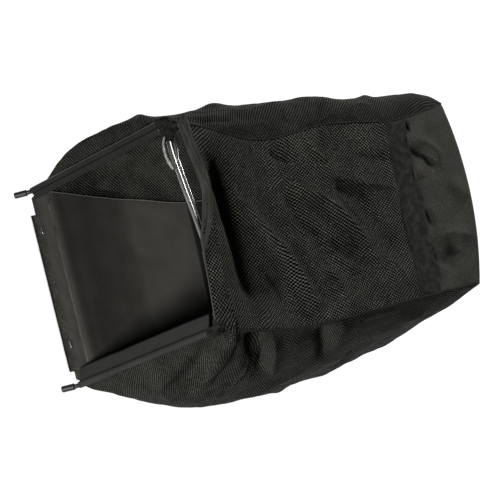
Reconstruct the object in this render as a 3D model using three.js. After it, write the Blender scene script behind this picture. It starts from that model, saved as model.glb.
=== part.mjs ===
import * as THREE from "three";

// Grass collection bag of a walking mower: a bent steel mouth hoop, a steel loop that holds the top
// open, and a sewn cloth bag with a smooth floor panel. Millimetres. +X runs from the mouth to the
// rear, +Y to the left as one looks into the mouth, +Z up. The origin is under the middle of the lip bar.

// Mouth hoop, from the axis of its rod
const LIP_WIDTH = 360;
const BAR_WIDTH = 349;
const LEG_LENGTH = 362;
const LEG_ANGLE = 65;
const ROD_D = 8;
const ROD_BEND = 14;
const STUB_LENGTH = 26;
const STUB_DROP = 30;
const BAR_DENT = 16;

// Black caps on the two stub ends
const CAP_WALL = 1.4;
const CAP_DEPTH = 21;
const CAP_FLOOR = 2;

// Steel loop under the edges of the top
const LOOP_D = 6;
const LOOP_BEND = 20;
const LOOP_INSET = 14.5;
const LOOP_REAR_INSET = 7;
const LOOP_DROP = 13;
const LOOP_REAR_CLEAR = 13;

// Vinyl bindings clipped on the legs
const BINDING_WALL = 2;
const BINDING_FLANGE = 2.2;
const LEFT_FLANGE = 10;
const RIGHT_FLANGE = 26;
const FLANGE_TURN = 18;
const BINDING_FOOT = 8;
const BINDING_HEAD = 24;

// Lip bar, its vinyl hem and the two staples
const LIP_BAR_LENGTH = 290;
const LIP_BAR_DEPTH = 27;
const LIP_BAR_THICK = 2.5;
const LIP_BAR_REACH = 9;
const LIP_BAR_EDGE = 1.6;
const LIP_BAR_UPTURN = 4.5;
const LIP_BAR_SHIFT = 9;
const LIP_HEM_DEPTH = 34;
const NOTCH_DEPTH = 8;
const STAPLE_D = 1.4;
const STAPLE_LENGTH = 12;
const STAPLE_HEIGHT = 2.2;
const STAPLE_SPAN = 212;
const STAPLE_INSET = 5;

// Bag
const TOP_LENGTH = 510;
const TOP_TAPER = 15;
const BASE_TAPER = 40;
const BELLY_DROP = 48;
const REAR_TAPE = 28;
const REAR_BOW = 21;
const LIP_RACK = 9;
const REAR_RACK = 12;
const LEFT_PUCKER = 45;
const RIGHT_SWELL = 22;
const BASE_SHIFT = 26;
const LEFT_BULGE = 118;
const RIGHT_BULGE = 109;
const LEFT_PEAK = 0.25;
const TOP_SAG = 18;
const VALLEY = 34;
const VALLEY_WIDTH = 24;
const FOLD_RISE = 11;
const FOLD_REACH = 15;
const CREASE_RISE = 9;
const CREASE_REACH = 10;
const CLOTH = 2.4;
const BAND_CLOTH = 3.4;
const PIPING_D = 5;
const BAND_WIDTH = 36;
const REAR_TOP_LENGTH = 87;
const REAR_TAPE_BOW = 3;
const FLOOR_PANEL_LENGTH = 305;

// Rolled hem behind the top bar, and the loop and folds at its corners
const HEM_WIDTH = 22;
const HEM_SPREAD = 4;
const HEM_THICK = 7;
const HEM_SLIP = 13;
const HEM_END = 12;
const STRAP_WIDTH = 9;
const STRAP_THICK = 1.8;
const FOLD_LENGTH = 20;
const FOLD_WIDTH = 12;

// Air between pieces that touch
const GAP = 0.3;

const LEFT = 1;
const RIGHT = -1;
const UP = new THREE.Vector3(0, 0, 1);

const rodR = ROD_D / 2;
const loopR = LOOP_D / 2;
const pipingR = PIPING_D / 2;
const bindingR = rodR + GAP + BINDING_WALL;
const lipZ = LIP_BAR_THICK + GAP + CLOTH / 2;
const legAngle = THREE.MathUtils.degToRad(LEG_ANGLE);
const mouthX = LEG_LENGTH * Math.cos(legAngle);
const mouthRise = LEG_LENGTH * Math.sin(legAngle);
const mouthZ = lipZ + mouthRise;
const rearX = mouthX + TOP_LENGTH;
const rearWidth = BAR_WIDTH - TOP_TAPER;
const baseRearWidth = LIP_WIDTH - BASE_TAPER;

// Shares along the bag, 0 at the mouth and 1 at the rear edge of the top
const frontShare = (bindingR + GAP + CLOTH / 2) / Math.sin(legAngle) / TOP_LENGTH;
const lipHemShare = 0.06;
const bandEnd = 1 - REAR_TOP_LENGTH / TOP_LENGTH;
const bandStart = bandEnd - BAND_WIDTH / TOP_LENGTH;
const floorEndShare = FLOOR_PANEL_LENGTH / rearX;
const rearPanelShare = 0.84;
const sideEndShare = 0.985;

const point = (x, y, z) => new THREE.Vector3(x, y, z);

// Smooth curve through a few stations that never swings past them.
function through(stations, at) {
  const last = stations.length - 1;
  const x = Math.min(Math.max(at, stations[0][0]), stations[last][0]);
  let i = 0;
  while (i < last - 1 && x > stations[i + 1][0]) i += 1;
  const rise = (k) => (stations[k + 1][1] - stations[k][1]) / (stations[k + 1][0] - stations[k][0]);
  const slope = (k) => {
    if (k === 0) return rise(0);
    if (k === last) return rise(last - 1);
    const before = rise(k - 1);
    const after = rise(k);
    return before * after <= 0 ? 0 : (2 * before * after) / (before + after);
  };
  const span = stations[i + 1][0] - stations[i][0];
  const u = (x - stations[i][0]) / span;
  const [a, b] = [stations[i][1], stations[i + 1][1]];
  return a * (2 * u ** 3 - 3 * u ** 2 + 1) + b * (3 * u ** 2 - 2 * u ** 3)
    + span * (slope(i) * (u ** 3 - 2 * u ** 2 + u) + slope(i + 1) * (u ** 3 - u ** 2));
}

// The four long edges of the bag
const pucker = [[0, 0], [0.1, 0.38], [0.28, 1], [0.56, 0.53], [0.76, 0.6], [1, 0]];
const swell = [[0, 0], [0.11, 0.55], [0.27, 1], [0.4, 0.92], [0.65, 0.5], [0.83, 0.2], [1, 0]];
const drift = [[0, 0], [0.1, 0.08], [0.2, 0.25], [0.3, 0.5], [0.45, 1], [0.6, 0.7], [0.8, 0.25], [1, 0]];
const run = [[0, 0], [0.06, LIP_HEM_DEPTH / rearX], [0.3, 0.31], [0.68, 0.69], [0.8, 0.85], [0.88, 0.95],
  [0.95, 1.005], [1, 1.02]];
const drop = [[0, 0], [0.06, 0], [0.1, -0.18], [0.2, -0.74], [0.28, -1], [0.68, -1], [0.8, -0.46], [0.84, 0]];
const climb = [[0.84, 0], [0.88, 0.18], [0.95, 0.55], [1, 1]];

function topEdge(side, s) {
  const straight = THREE.MathUtils.lerp(BAR_WIDTH / 2, rearWidth / 2, s);
  const bend = side === LEFT ? -LEFT_PUCKER * through(pucker, s) : RIGHT_SWELL * through(swell, s);
  const headSkew = side === LEFT ? 0.56 * BAR_DENT * (1 - THREE.MathUtils.smoothstep(s, 0, 0.15)) : 0;
  return point(mouthX + TOP_LENGTH * s + side * REAR_RACK * s - headSkew, side * (straight + bend), mouthZ);
}

function baseEdge(side, s) {
  const straight = THREE.MathUtils.lerp(LIP_WIDTH / 2, baseRearWidth / 2, s);
  const y = side * straight - BASE_SHIFT * through(drift, s);
  const behindHem = Math.max(s, lipHemShare);
  const rack = side * THREE.MathUtils.mapLinear(behindHem, lipHemShare, 1, -LIP_RACK, REAR_RACK);
  const rise = (mouthRise - REAR_TAPE) * through(climb, s);
  return point(rearX * through(run, s) + rack, y, lipZ + BELLY_DROP * through(drop, s) + rise);
}

// The lower seam cords lie a little inside the base cloth, to keep them off the ground.
function baseSeam(side, s) {
  const step = 0.004;
  const along = baseEdge(side, Math.min(s + step, 1)).sub(baseEdge(side, s - step));
  const inward = point(-along.z, 0, along.x).normalize();
  return baseEdge(side, s).addScaledVector(inward, (pipingR - CLOTH / 2) / 2);
}

function bezier(a, b, c, d, t) {
  return new THREE.CubicBezierCurve3(a, b, c, d).getPoint(t);
}

// Bulge of each wall beyond its edges: it opens at once behind the mouth and closes at the rear
const leftFullness = [[0.3, 1.04], [0.45, 1], [0.6, 0.95], [0.8, 0.86], [0.9, 0.68], [0.96, 0.42], [1, 0.05]];
const rightFullness = [[0, 0], [0.02, 0.28], [0.05, 0.46], [0.1, 0.67], [0.2, 0.88], [0.3, 0.92], [0.4, 0.83],
  [0.5, 0.81], [0.6, 0.8], [0.8, 0.59], [0.9, 0.36], [1, 0.04]];
const bulgeStations = {
  [LEFT]: {
    top: [[0, 0], [0.02, 0.3], [0.05, 0.42], [0.1, 0.53], [0.2, 0.84], ...leftFullness],
    base: [[0, 0], [0.02, 0.6], [0.05, 0.86], [0.1, 0.97], [0.2, 1], ...leftFullness],
  },
  [RIGHT]: { top: rightFullness, base: rightFullness },
};
const bulgeSize = { [LEFT]: LEFT_BULGE, [RIGHT]: RIGHT_BULGE };
const bulgePull = {
  [LEFT]: { top: point(-0.1, 1, 0.35), base: point(-0.1, 1, 0.1) },
  [RIGHT]: { top: point(0, -0.7, -1), base: point(0, -1.2, 0.1) },
};

// Main folds of the cloth: each runs through places given as shares along and across its panel, with its
// height as a share of the main one
const topFolds = [
  [[[0.126, 0.25], [0.21, 0.425], [0.283, 0.615], [0.341, 0.89]], 1],
  [[[0.335, 0.3], [0.368, 0.489], [0.44, 0.64], [0.5, 0.78]], -0.7],
  [[[0.393, 0.3], [0.503, 0.431], [0.58, 0.621], [0.601, 0.72]], 0.85],
  [[[0.545, 0.33], [0.6, 0.41], [0.665, 0.6], [0.68, 0.7]], -0.6],
];
const sideFolds = {
  [LEFT]: [],
  [RIGHT]: [
    [[[0.05, 0.02], [0.067, 0.112], [0.081, 0.24], [0.102, 0.347], [0.128, 0.475], [0.12, 0.56]], 1],
    [[[0.1, 0.03], [0.135, 0.096], [0.17, 0.204], [0.19, 0.339], [0.2, 0.45]], -1.1],
  ],
};

// Height of the folds at a place; they fade out towards the seams.
function foldHeight(folds, s, t, width, rise, reach) {
  const flat = (u, v) => point(u * TOP_LENGTH, v * width, 0);
  let height = 0;
  for (const [run, share] of folds) {
    const away = distanceTo(run.map(([u, v]) => flat(u, v)), flat(s, t));
    height += rise * share * Math.exp(-((away / reach) ** 2));
  }
  return height * THREE.MathUtils.smoothstep(t, 0.01, 0.09) * THREE.MathUtils.smoothstep(1 - t, 0.01, 0.09);
}

function sideWall(side, s, t) {
  const opened = Math.max(0, (s - frontShare) / (1 - frontShare));
  const stations = bulgeStations[side];
  const top = topEdge(side, s);
  const base = baseEdge(side, s);
  const pull = bulgePull[side];
  const peak = side === LEFT ? LEFT_PEAK * (1 - THREE.MathUtils.smoothstep(s, 0.02, 0.22)) : 0;
  const upper = top.clone().lerp(base, peak)
    .addScaledVector(pull.top, bulgeSize[side] * through(stations.top, opened));
  const lower = base.clone().lerp(top, peak)
    .addScaledVector(pull.base, bulgeSize[side] * through(stations.base, opened));
  const spot = bezier(top, upper, lower, base, t);
  const fade = THREE.MathUtils.smoothstep(s, frontShare, frontShare + 0.02);
  spot.y += side * fade * foldHeight(sideFolds[side], s, t, LEG_LENGTH, CREASE_RISE, CREASE_REACH);
  return spot;
}

const hemLift = rodR + GAP + HEM_THICK / 2;
const hemRearShare = (HEM_WIDTH + HEM_SPREAD) / TOP_LENGTH;

// How far the hem has slipped to the rear at a place across the bag
function hemSlip(y) {
  const share = THREE.MathUtils.clamp(0.5 - y / BAR_WIDTH, 0, 1);
  return HEM_SLIP * through([[0, 0], [0.12, 0.4], [0.23, 0.85], [0.34, 1], [0.5, 0.5], [0.66, 0], [1, 0]], share);
}

// The top sags between its seams, and a deep valley crosses it behind the hem.
function topWall(s, t) {
  const left = topEdge(LEFT, s);
  const right = topEdge(RIGHT, s);
  const sag = TOP_SAG * through([[0, 0], [0.1, 0.5], [0.2, 1], [0.8, 0.8], [1, 0]], s);
  const inner = (from, to) => from.clone().lerp(to, 1 / 3).addScaledVector(UP, -sag);
  const spot = bezier(left, inner(left, right), inner(right, left), right, t);
  const middle = through([[0, 0.1], [0.15, 0.1], [0.33, 0.125], [0.6, 0.155], [1, 0.145]], t);
  const across = THREE.MathUtils.smoothstep(t, 0.05, 0.3) * THREE.MathUtils.smoothstep(1 - t, 0.05, 0.25);
  spot.z -= VALLEY * across * Math.exp(-(((s - middle) * TOP_LENGTH / VALLEY_WIDTH) ** 2));
  const clearOfSeams = THREE.MathUtils.smoothstep(t, 0, 0.06) * THREE.MathUtils.smoothstep(1 - t, 0, 0.06);
  const underHem = 1 - THREE.MathUtils.smoothstep(s, hemRearShare, hemRearShare + 0.03);
  spot.z += hemLift * underHem * clearOfSeams;
  const onNet = THREE.MathUtils.smoothstep(bandStart - s, 0, 0.05);
  spot.z += onNet * foldHeight(topFolds, s, t, BAR_WIDTH, FOLD_RISE, FOLD_REACH);
  spot.x += hemSlip(spot.y) * (1 - THREE.MathUtils.smoothstep(s, hemRearShare, hemRearShare + 0.12));
  spot.x += REAR_BOW * 4 * t * (1 - t) * THREE.MathUtils.smoothstep(s, 0.7, 1);
  return spot;
}

function baseWall(s, t) {
  const spot = baseEdge(LEFT, s).lerp(baseEdge(RIGHT, s), t);
  spot.x += REAR_BOW * 4 * t * (1 - t) * THREE.MathUtils.smoothstep(s, 0.8, 1);
  return spot;
}

function rearTapeWall(u, t) {
  const spot = topWall(1, t).lerp(baseWall(1, t), u);
  spot.x += REAR_TAPE_BOW * 4 * u * (1 - u);
  return spot;
}

// A closed body from rings of points; its two ends are closed by a ladder of faces.
function loft(rings) {
  const size = rings[0].length;
  const spots = rings.flat();
  const faces = [];
  for (let i = 0; i < rings.length - 1; i += 1) {
    for (let j = 0; j < size; j += 1) {
      const a = i * size + j;
      const b = i * size + (j + 1) % size;
      faces.push([a, b, b + size], [a, b + size, a + size]);
    }
  }
  const end = (rings.length - 1) * size;
  for (let j = 0; j < size / 2 - 1; j += 1) {
    const [a, b] = [j, j + 1];
    const [c, d] = [size - 1 - j, size - 2 - j];
    faces.push([a, c, b], [end + a, end + b, end + c]);
    if (b !== d) faces.push([b, c, d], [end + b, end + d, end + c]);
  }
  const volume = faces.reduce((sum, [a, b, c]) => sum + spots[a].dot(spots[b].clone().cross(spots[c])), 0);
  const index = volume > 0 ? faces.flat() : faces.map(([a, b, c]) => [a, c, b]).flat();
  const geometry = new THREE.BufferGeometry().setFromPoints(spots);
  geometry.setIndex(index);
  geometry.computeVertexNormals();
  return geometry;
}

// How far a spot lies from a seam that runs through the given points.
function distanceTo(seam, spot) {
  const nearest = point(0, 0, 0);
  let least = Infinity;
  for (let i = 1; i < seam.length; i += 1) {
    new THREE.Line3(seam[i - 1], seam[i]).closestPointToPoint(spot, true, nearest);
    least = Math.min(least, nearest.distanceTo(spot));
  }
  return least;
}

// The length of a line of points that lies within reach of the seam at its start.
function hidden(line, seam, reach) {
  if (!seam) return 0;
  let length = 0;
  let i = 1;
  while (i < line.length - 1 && distanceTo(seam, line[i]) < reach) {
    length += line[i].distanceTo(line[i - 1]);
    i += 1;
  }
  let [low, high] = [0, 1];
  for (let k = 0; k < 12; k += 1) {
    const middle = (low + high) / 2;
    if (distanceTo(seam, line[i - 1].clone().lerp(line[i], middle)) < reach) low = middle;
    else high = middle;
  }
  return length + high * line[i].distanceTo(line[i - 1]);
}

// Points spread evenly along a line of points, after a trim at each end.
function spread(line, trimStart, trimEnd, count) {
  const lengths = [0];
  for (let i = 1; i < line.length; i += 1) lengths.push(lengths[i - 1] + line[i].distanceTo(line[i - 1]));
  const whole = lengths[line.length - 1];
  return Array.from({ length: count }, (_, k) => {
    const target = THREE.MathUtils.lerp(trimStart, whole - trimEnd, k / (count - 1));
    let i = 1;
    while (i < line.length - 1 && lengths[i] < target) i += 1;
    return line[i - 1].clone().lerp(line[i], (target - lengths[i - 1]) / (lengths[i] - lengths[i - 1]));
  });
}

// A sewn panel: a sheet with the cloth's thickness, trimmed clear of the seam cords at its two edges.
function panel(wall, shares, across, seams = [], thickness = CLOTH) {
  const fine = 60;
  const reach = Math.hypot(pipingR + GAP, CLOTH / 4) + 2 * GAP;
  const grid = shares.map((s) => {
    const line = Array.from({ length: fine + 1 }, (_, k) => wall(s, k / fine));
    const back = [...line].reverse();
    return spread(line, hidden(line, seams[0], reach), hidden(back, seams[1], reach), across + 1);
  });
  const at = (i, j) => grid[Math.min(Math.max(i, 0), grid.length - 1)][Math.min(Math.max(j, 0), across)];
  const rings = grid.map((row, i) => {
    const normals = row.map((_, j) => {
      const along = at(i + 1, j).clone().sub(at(i - 1, j));
      const sideways = at(i, j + 1).clone().sub(at(i, j - 1));
      return along.cross(sideways).normalize();
    });
    const outer = row.map((spot, j) => spot.clone().addScaledVector(normals[j], thickness / 2));
    const inner = row.map((spot, j) => spot.clone().addScaledVector(normals[j], -thickness / 2));
    return [...outer, ...inner.reverse()];
  });
  return loft(rings);
}

// A route through given points, one extruded step between each two of them.
class Route extends THREE.Curve {
  constructor(points) {
    super();
    this.points = points;
  }

  getPoint(share) {
    const at = share * (this.points.length - 1);
    const i = Math.min(Math.floor(at), this.points.length - 2);
    return this.points[i].clone().lerp(this.points[i + 1], at - i);
  }

  getPointAt(share) {
    return this.getPoint(share);
  }

  getTangentAt(share) {
    const last = this.points.length - 1;
    const i = Math.round(share * last);
    const step = (k) => this.points[k + 1].clone().sub(this.points[k]).normalize();
    const before = step(Math.max(i - 1, 0));
    const after = step(Math.min(i, last - 1));
    return before.add(after).normalize();
  }
}

function circle(radius, sides) {
  const shape = new THREE.Shape();
  for (let k = 0; k < sides; k += 1) {
    const angle = (2 * Math.PI * k) / sides;
    const [x, y] = [radius * Math.cos(angle), radius * Math.sin(angle)];
    if (k === 0) shape.moveTo(x, y);
    else shape.lineTo(x, y);
  }
  shape.closePath();
  return shape;
}

function rod(points, radius, sides) {
  const route = new Route(points);
  return new THREE.ExtrudeGeometry(circle(radius, sides), { steps: points.length - 1, extrudePath: route });
}

// Corner points become arcs of the given radius; a radius of 0 keeps the point.
function rounded(corners) {
  const points = [];
  corners.forEach(([corner, radius], k) => {
    if (!radius) {
      points.push(corner);
      return;
    }
    const back = corners[k - 1][0].clone().sub(corner).normalize();
    const forward = corners[k + 1][0].clone().sub(corner).normalize();
    const half = back.angleTo(forward) / 2;
    const reach = radius / Math.tan(half);
    const start = corner.clone().addScaledVector(back, reach);
    const finish = corner.clone().addScaledVector(forward, reach);
    const bisector = back.clone().add(forward).normalize();
    const centre = corner.clone().addScaledVector(bisector, radius / Math.sin(half));
    const turn = Math.PI - 2 * half;
    const steps = Math.max(2, Math.ceil(turn / 0.35));
    for (let i = 0; i <= steps; i += 1) {
      const share = i / steps;
      const fromStart = Math.sin((1 - share) * turn) / Math.sin(turn);
      const fromFinish = Math.sin(share * turn) / Math.sin(turn);
      points.push(centre.clone().addScaledVector(start.clone().sub(centre), fromStart)
        .addScaledVector(finish.clone().sub(centre), fromFinish));
    }
  });
  return points;
}

// Puts a shape drawn in x and y and extruded along z into place.
function place(geometry, xAxis, yAxis, zAxis, origin) {
  return geometry.applyMatrix4(new THREE.Matrix4().makeBasis(xAxis, yAxis, zAxis).setPosition(origin));
}

const bag = new THREE.Group();

const finishes = {
  steel: { color: 0x8f9194, roughness: 0.35, metalness: 0.9 },
  vinyl: { color: 0x1b1b1a, roughness: 0.4, metalness: 0 },
  floor: { color: 0x2b2a27, roughness: 0.7, metalness: 0 },
  cloth: { color: 0x191918, roughness: 0.85, metalness: 0 },
  mesh: { color: 0x131313, roughness: 0.75, metalness: 0 },
  tape: { color: 0x121212, roughness: 0.7, metalness: 0 },
};

function add(name, geometry, finish) {
  const piece = new THREE.Mesh(geometry, new THREE.MeshStandardMaterial(finishes[finish]));
  piece.name = name;
  bag.add(piece);
}

// Mouth hoop: a stub, a leg, the dented top bar, a leg and a stub, bent from one rod
const legFoot = (side) => point(-side * LIP_RACK, side * (LIP_WIDTH / 2), lipZ);
const barDent = [[0, -0.56], [0.12, -1], [0.3, -0.58], [0.48, 0], [0.62, 0.33], [0.8, 0.18], [1, 0]];

function barPoint(share) {
  const y = THREE.MathUtils.lerp(BAR_WIDTH / 2, -BAR_WIDTH / 2, share);
  return point(mouthX + BAR_DENT * through(barDent, share), y, mouthZ);
}

const legHead = (side) => barPoint(side === LEFT ? 0 : 1);
const stubDrop = THREE.MathUtils.degToRad(STUB_DROP);
const stubWay = point(-Math.cos(stubDrop), 0, -Math.sin(stubDrop));
const stubEnd = (side) => legFoot(side).addScaledVector(stubWay, STUB_LENGTH);
const barShares = [0.12, 0.21, 0.3, 0.39, 0.48, 0.55, 0.62, 0.71, 0.8, 0.9];

function mouthHoop() {
  const corners = [
    [stubEnd(LEFT), 0],
    [legFoot(LEFT), ROD_BEND],
    [legHead(LEFT), ROD_BEND],
    ...barShares.map((share) => [barPoint(share), 0]),
    [legHead(RIGHT), ROD_BEND],
    [legFoot(RIGHT), ROD_BEND],
    [stubEnd(RIGHT), 0],
  ];
  return rod(rounded(corners), rodR, 10);
}

function stubCap(side) {
  const sides = 14;
  const inside = (rodR + GAP) / Math.cos(Math.PI / sides);
  const outside = inside + CAP_WALL;
  const end = GAP + CAP_FLOOR;
  const wall = [[inside, GAP], [inside, -CAP_DEPTH], [outside, -CAP_DEPTH], [outside, end]];
  const profile = [[0, GAP], ...wall, [0, end]];
  const geometry = new THREE.LatheGeometry(profile.map(([x, y]) => new THREE.Vector2(x, y)), sides);
  const turn = new THREE.Quaternion().setFromUnitVectors(point(0, 1, 0), stubWay);
  geometry.applyQuaternion(turn);
  const spot = stubEnd(side);
  return geometry.translate(spot.x, spot.y, spot.z);
}

add("mouth_hoop", mouthHoop(), "steel");
add("stub_cap_left", stubCap(LEFT), "vinyl");
add("stub_cap_right", stubCap(RIGHT), "vinyl");

// Loop rod beside the top bar, down both sides and across the rear; its ends meet at the rear.
function supportLoop() {
  const apart = rodR + loopR + GAP;
  const rise = loopR - rodR;
  const half = BAR_WIDTH / 2 - LOOP_INSET;
  const rearHalf = rearWidth / 2 - LOOP_REAR_INSET;
  const loopZ = mouthZ - LOOP_DROP;
  const backX = rearX - LOOP_REAR_CLEAR;
  const nextTo = barShares.filter((share) => share > 0.15 && share < 0.85);
  const front = nextTo.map((share) => [barPoint(share).add(point(apart, 0, rise)), 0]);
  const frontCorner = (side) => {
    const share = side === LEFT ? 0.06 : 0.94;
    return [point(barPoint(share).x + apart + 4, side * half, mouthZ + rise), LOOP_BEND / 2];
  };
  const shoulder = (side) => [point(mouthX + 2 * LOOP_BEND + 4, side * half, loopZ), LOOP_BEND];
  const rearCorner = (side) => [point(backX + side * REAR_RACK, side * rearHalf, loopZ), LOOP_BEND];
  const rearMiddle = (side) => [point(backX, side * GAP / 2, loopZ), 0];
  const corners = [
    rearMiddle(LEFT), rearCorner(LEFT), shoulder(LEFT), frontCorner(LEFT),
    ...front,
    frontCorner(RIGHT), shoulder(RIGHT), rearCorner(RIGHT), rearMiddle(RIGHT),
  ];
  return rod(rounded(corners), loopR, 10);
}

add("support_loop", supportLoop(), "steel");

// Binding: a vinyl tube round the leg with a flat flange turned into the bag
function legBinding(side, flange) {
  const foot = legFoot(side);
  const head = legHead(side);
  const along = head.clone().sub(foot).normalize();
  const inward = point(0, -side, 0);
  const rearward = inward.clone().cross(along).multiplyScalar(-side).normalize();
  const turn = THREE.MathUtils.degToRad(FLANGE_TURN);
  const xAxis = inward.clone().multiplyScalar(Math.cos(turn)).addScaledVector(rearward, Math.sin(turn));
  xAxis.addScaledVector(along, -xAxis.dot(along)).normalize();
  const yAxis = along.clone().cross(xAxis);
  const shape = new THREE.Shape();
  const halfFlange = BINDING_FLANGE / 2;
  const open = Math.asin(halfFlange / bindingR);
  const sides = 14;
  for (let k = 0; k <= sides; k += 1) {
    const angle = THREE.MathUtils.lerp(open, 2 * Math.PI - open, k / sides);
    const [x, y] = [bindingR * Math.cos(angle), bindingR * Math.sin(angle)];
    if (k === 0) shape.moveTo(x, y);
    else shape.lineTo(x, y);
  }
  shape.lineTo(bindingR + flange, -halfFlange);
  shape.lineTo(bindingR + flange, halfFlange);
  shape.closePath();
  shape.holes.push(circle((rodR + GAP) / Math.cos(Math.PI / 12), 12));
  const depth = foot.distanceTo(head) - BINDING_FOOT - BINDING_HEAD;
  const geometry = new THREE.ExtrudeGeometry(shape, { depth, bevelEnabled: false });
  return place(geometry, xAxis, yAxis, along, foot.clone().addScaledVector(along, BINDING_FOOT));
}

add("leg_binding_left", legBinding(LEFT, LEFT_FLANGE), "vinyl");
add("leg_binding_right", legBinding(RIGHT, RIGHT_FLANGE), "vinyl");

// The lip is racked: its left end lies further forward. lipX points rearward, lipY to the left.
const lipY = legFoot(LEFT).sub(legFoot(RIGHT)).normalize();
const lipX = lipY.clone().cross(UP);
const lipSpot = (x, y, z) => point(0, 0, z).addScaledVector(lipX, x).addScaledVector(lipY, y);
const lipLength = legFoot(LEFT).distanceTo(legFoot(RIGHT));

function lipBar() {
  const front = -LIP_BAR_REACH;
  const shape = new THREE.Shape();
  shape.moveTo(front, 0);
  shape.lineTo(front + LIP_BAR_DEPTH, 0);
  shape.lineTo(front + LIP_BAR_DEPTH, LIP_BAR_THICK);
  shape.lineTo(front + LIP_BAR_EDGE, LIP_BAR_THICK);
  shape.lineTo(front + LIP_BAR_EDGE, LIP_BAR_THICK + LIP_BAR_UPTURN);
  shape.lineTo(front, LIP_BAR_THICK + LIP_BAR_UPTURN);
  shape.closePath();
  const geometry = new THREE.ExtrudeGeometry(shape, { depth: LIP_BAR_LENGTH, bevelEnabled: false });
  const start = lipSpot(0, LIP_BAR_LENGTH / 2 - LIP_BAR_SHIFT, 0);
  return place(geometry, lipX, UP, lipY.clone().negate(), start);
}

function lipHem() {
  const front = -LIP_BAR_REACH + LIP_BAR_EDGE + GAP;
  const shoulder = front + NOTCH_DEPTH;
  const half = lipLength / 2 - rodR - 2 * GAP;
  const leftEnd = LIP_BAR_LENGTH / 2 - LIP_BAR_SHIFT;
  const rightEnd = -LIP_BAR_LENGTH / 2 - LIP_BAR_SHIFT;
  const rear = LIP_HEM_DEPTH - GAP;
  const narrow = legFoot(RIGHT).x + rodR;
  const shape = new THREE.Shape();
  shape.moveTo(front, rightEnd);
  shape.lineTo(shoulder, rightEnd);
  shape.lineTo(shoulder, -half + narrow / 2);
  shape.lineTo(shoulder + narrow, -half);
  shape.lineTo(rear, -half);
  shape.lineTo(rear, half);
  shape.lineTo(shoulder + narrow, half);
  shape.lineTo(shoulder, half - narrow / 2);
  shape.lineTo(shoulder, leftEnd);
  shape.lineTo(front, leftEnd);
  shape.closePath();
  const geometry = new THREE.ExtrudeGeometry(shape, { depth: CLOTH, bevelEnabled: false });
  return place(geometry, lipX, lipY, UP, point(0, 0, lipZ - CLOTH / 2));
}

function staple(side) {
  const y = side * STAPLE_SPAN / 2;
  const low = lipZ + CLOTH / 2 + GAP;
  const high = low + STAPLE_HEIGHT;
  const half = STAPLE_LENGTH / 2;
  const corners = [
    [lipSpot(STAPLE_INSET, y + half, low), 0],
    [lipSpot(STAPLE_INSET, y + half, high), STAPLE_D],
    [lipSpot(STAPLE_INSET, y - half, high), STAPLE_D],
    [lipSpot(STAPLE_INSET, y - half, low), 0],
  ];
  return rod(rounded(corners), STAPLE_D / 2, 6);
}

add("lip_bar", lipBar(), "steel");
add("lip_hem", lipHem(), "vinyl");
add("staple_left", staple(LEFT), "steel");
add("staple_right", staple(RIGHT), "steel");

// Stations along the bag that all the panels and seams share, so their edges run side by side
const stations = [
  frontShare, 0.025, 0.034, 0.045, lipHemShare, 0.075, 0.09, 0.105, 0.12, 0.135, 0.15, 0.165, 0.185,
  0.21, 0.24, 0.28, 0.34, 0.4, floorEndShare, 0.53, 0.6, 0.68, bandStart, bandEnd, rearPanelShare,
  0.87, 0.9, 0.93, 0.96, sideEndShare, 1,
].sort((a, b) => a - b);
const netStations = [0.31, 0.37, 0.43, 0.495, 0.565, 0.64, 0.72];
const stationsBetween = (from, to, more = []) => {
  const inside = [...stations, ...more].filter((s) => s > from + 0.004 && s < to - 0.004);
  return [from, ...inside.sort((a, b) => a - b), to];
};
const shareGap = GAP / TOP_LENGTH;
const middleGap = 2 * GAP / LEG_LENGTH;

// The lines along which the four seams run
const seamLine = (edge, side) => stations.map((s) => edge(side, s));
const topSeams = [seamLine(topEdge, LEFT), seamLine(topEdge, RIGHT)];
const baseSeams = [seamLine(baseSeam, LEFT), seamLine(baseSeam, RIGHT)];

function addTopPanel(name, shares, across, finish, thickness = CLOTH) {
  add(name, panel(topWall, shares, across, topSeams, thickness), finish);
}

function addBasePanel(name, from, to, finish) {
  add(name, panel(baseWall, stationsBetween(from, to), 6, baseSeams), finish);
}

// Each side wall is one cloth, drawn as four nodes that meet along its middle and above the
// rear end of the floor panel.
function addSideWall(name, side) {
  const k = side === LEFT ? 0 : 1;
  const upper = (s, t) => sideWall(side, s, t * (0.5 - middleGap));
  const lower = (s, t) => sideWall(side, s, THREE.MathUtils.lerp(0.5 + middleGap, 1, t));
  const lengths = {
    front: stationsBetween(frontShare, floorEndShare - shareGap),
    rear: stationsBetween(floorEndShare + shareGap, sideEndShare),
  };
  for (const [end, shares] of Object.entries(lengths)) {
    add(`${name}_upper_${end}`, panel(upper, shares, 6, [topSeams[k], null]), "cloth");
    add(`${name}_lower_${end}`, panel(lower, shares, 6, [null, baseSeams[k]]), "cloth");
  }
}

addBasePanel("floor_panel", lipHemShare + shareGap, floorEndShare - shareGap, "floor");
addBasePanel("base_panel", floorEndShare + shareGap, rearPanelShare - shareGap, "cloth");
addBasePanel("rear_panel", rearPanelShare + shareGap, 1 - shareGap, "cloth");
addSideWall("side_wall_left", LEFT);
addSideWall("side_wall_right", RIGHT);
addTopPanel("top_mesh_panel", stationsBetween(hemRearShare, bandStart - shareGap, netStations), 22, "mesh");
addTopPanel("rear_band", [bandStart + shareGap, bandEnd - shareGap], 14, "tape", BAND_CLOTH);
addTopPanel("rear_top_panel", stationsBetween(bandEnd + shareGap, 1 - shareGap), 14, "cloth");
add("rear_edge_tape", panel(rearTapeWall, [0.045, 0.35, 0.65, 0.99], 12), "tape");

// Piped seams: cords sewn in along the edges where two panels meet
function piping(edge, side, from) {
  return rod(stationsBetween(from, sideEndShare).map((s) => edge(side, s)), pipingR, 6);
}

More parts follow.
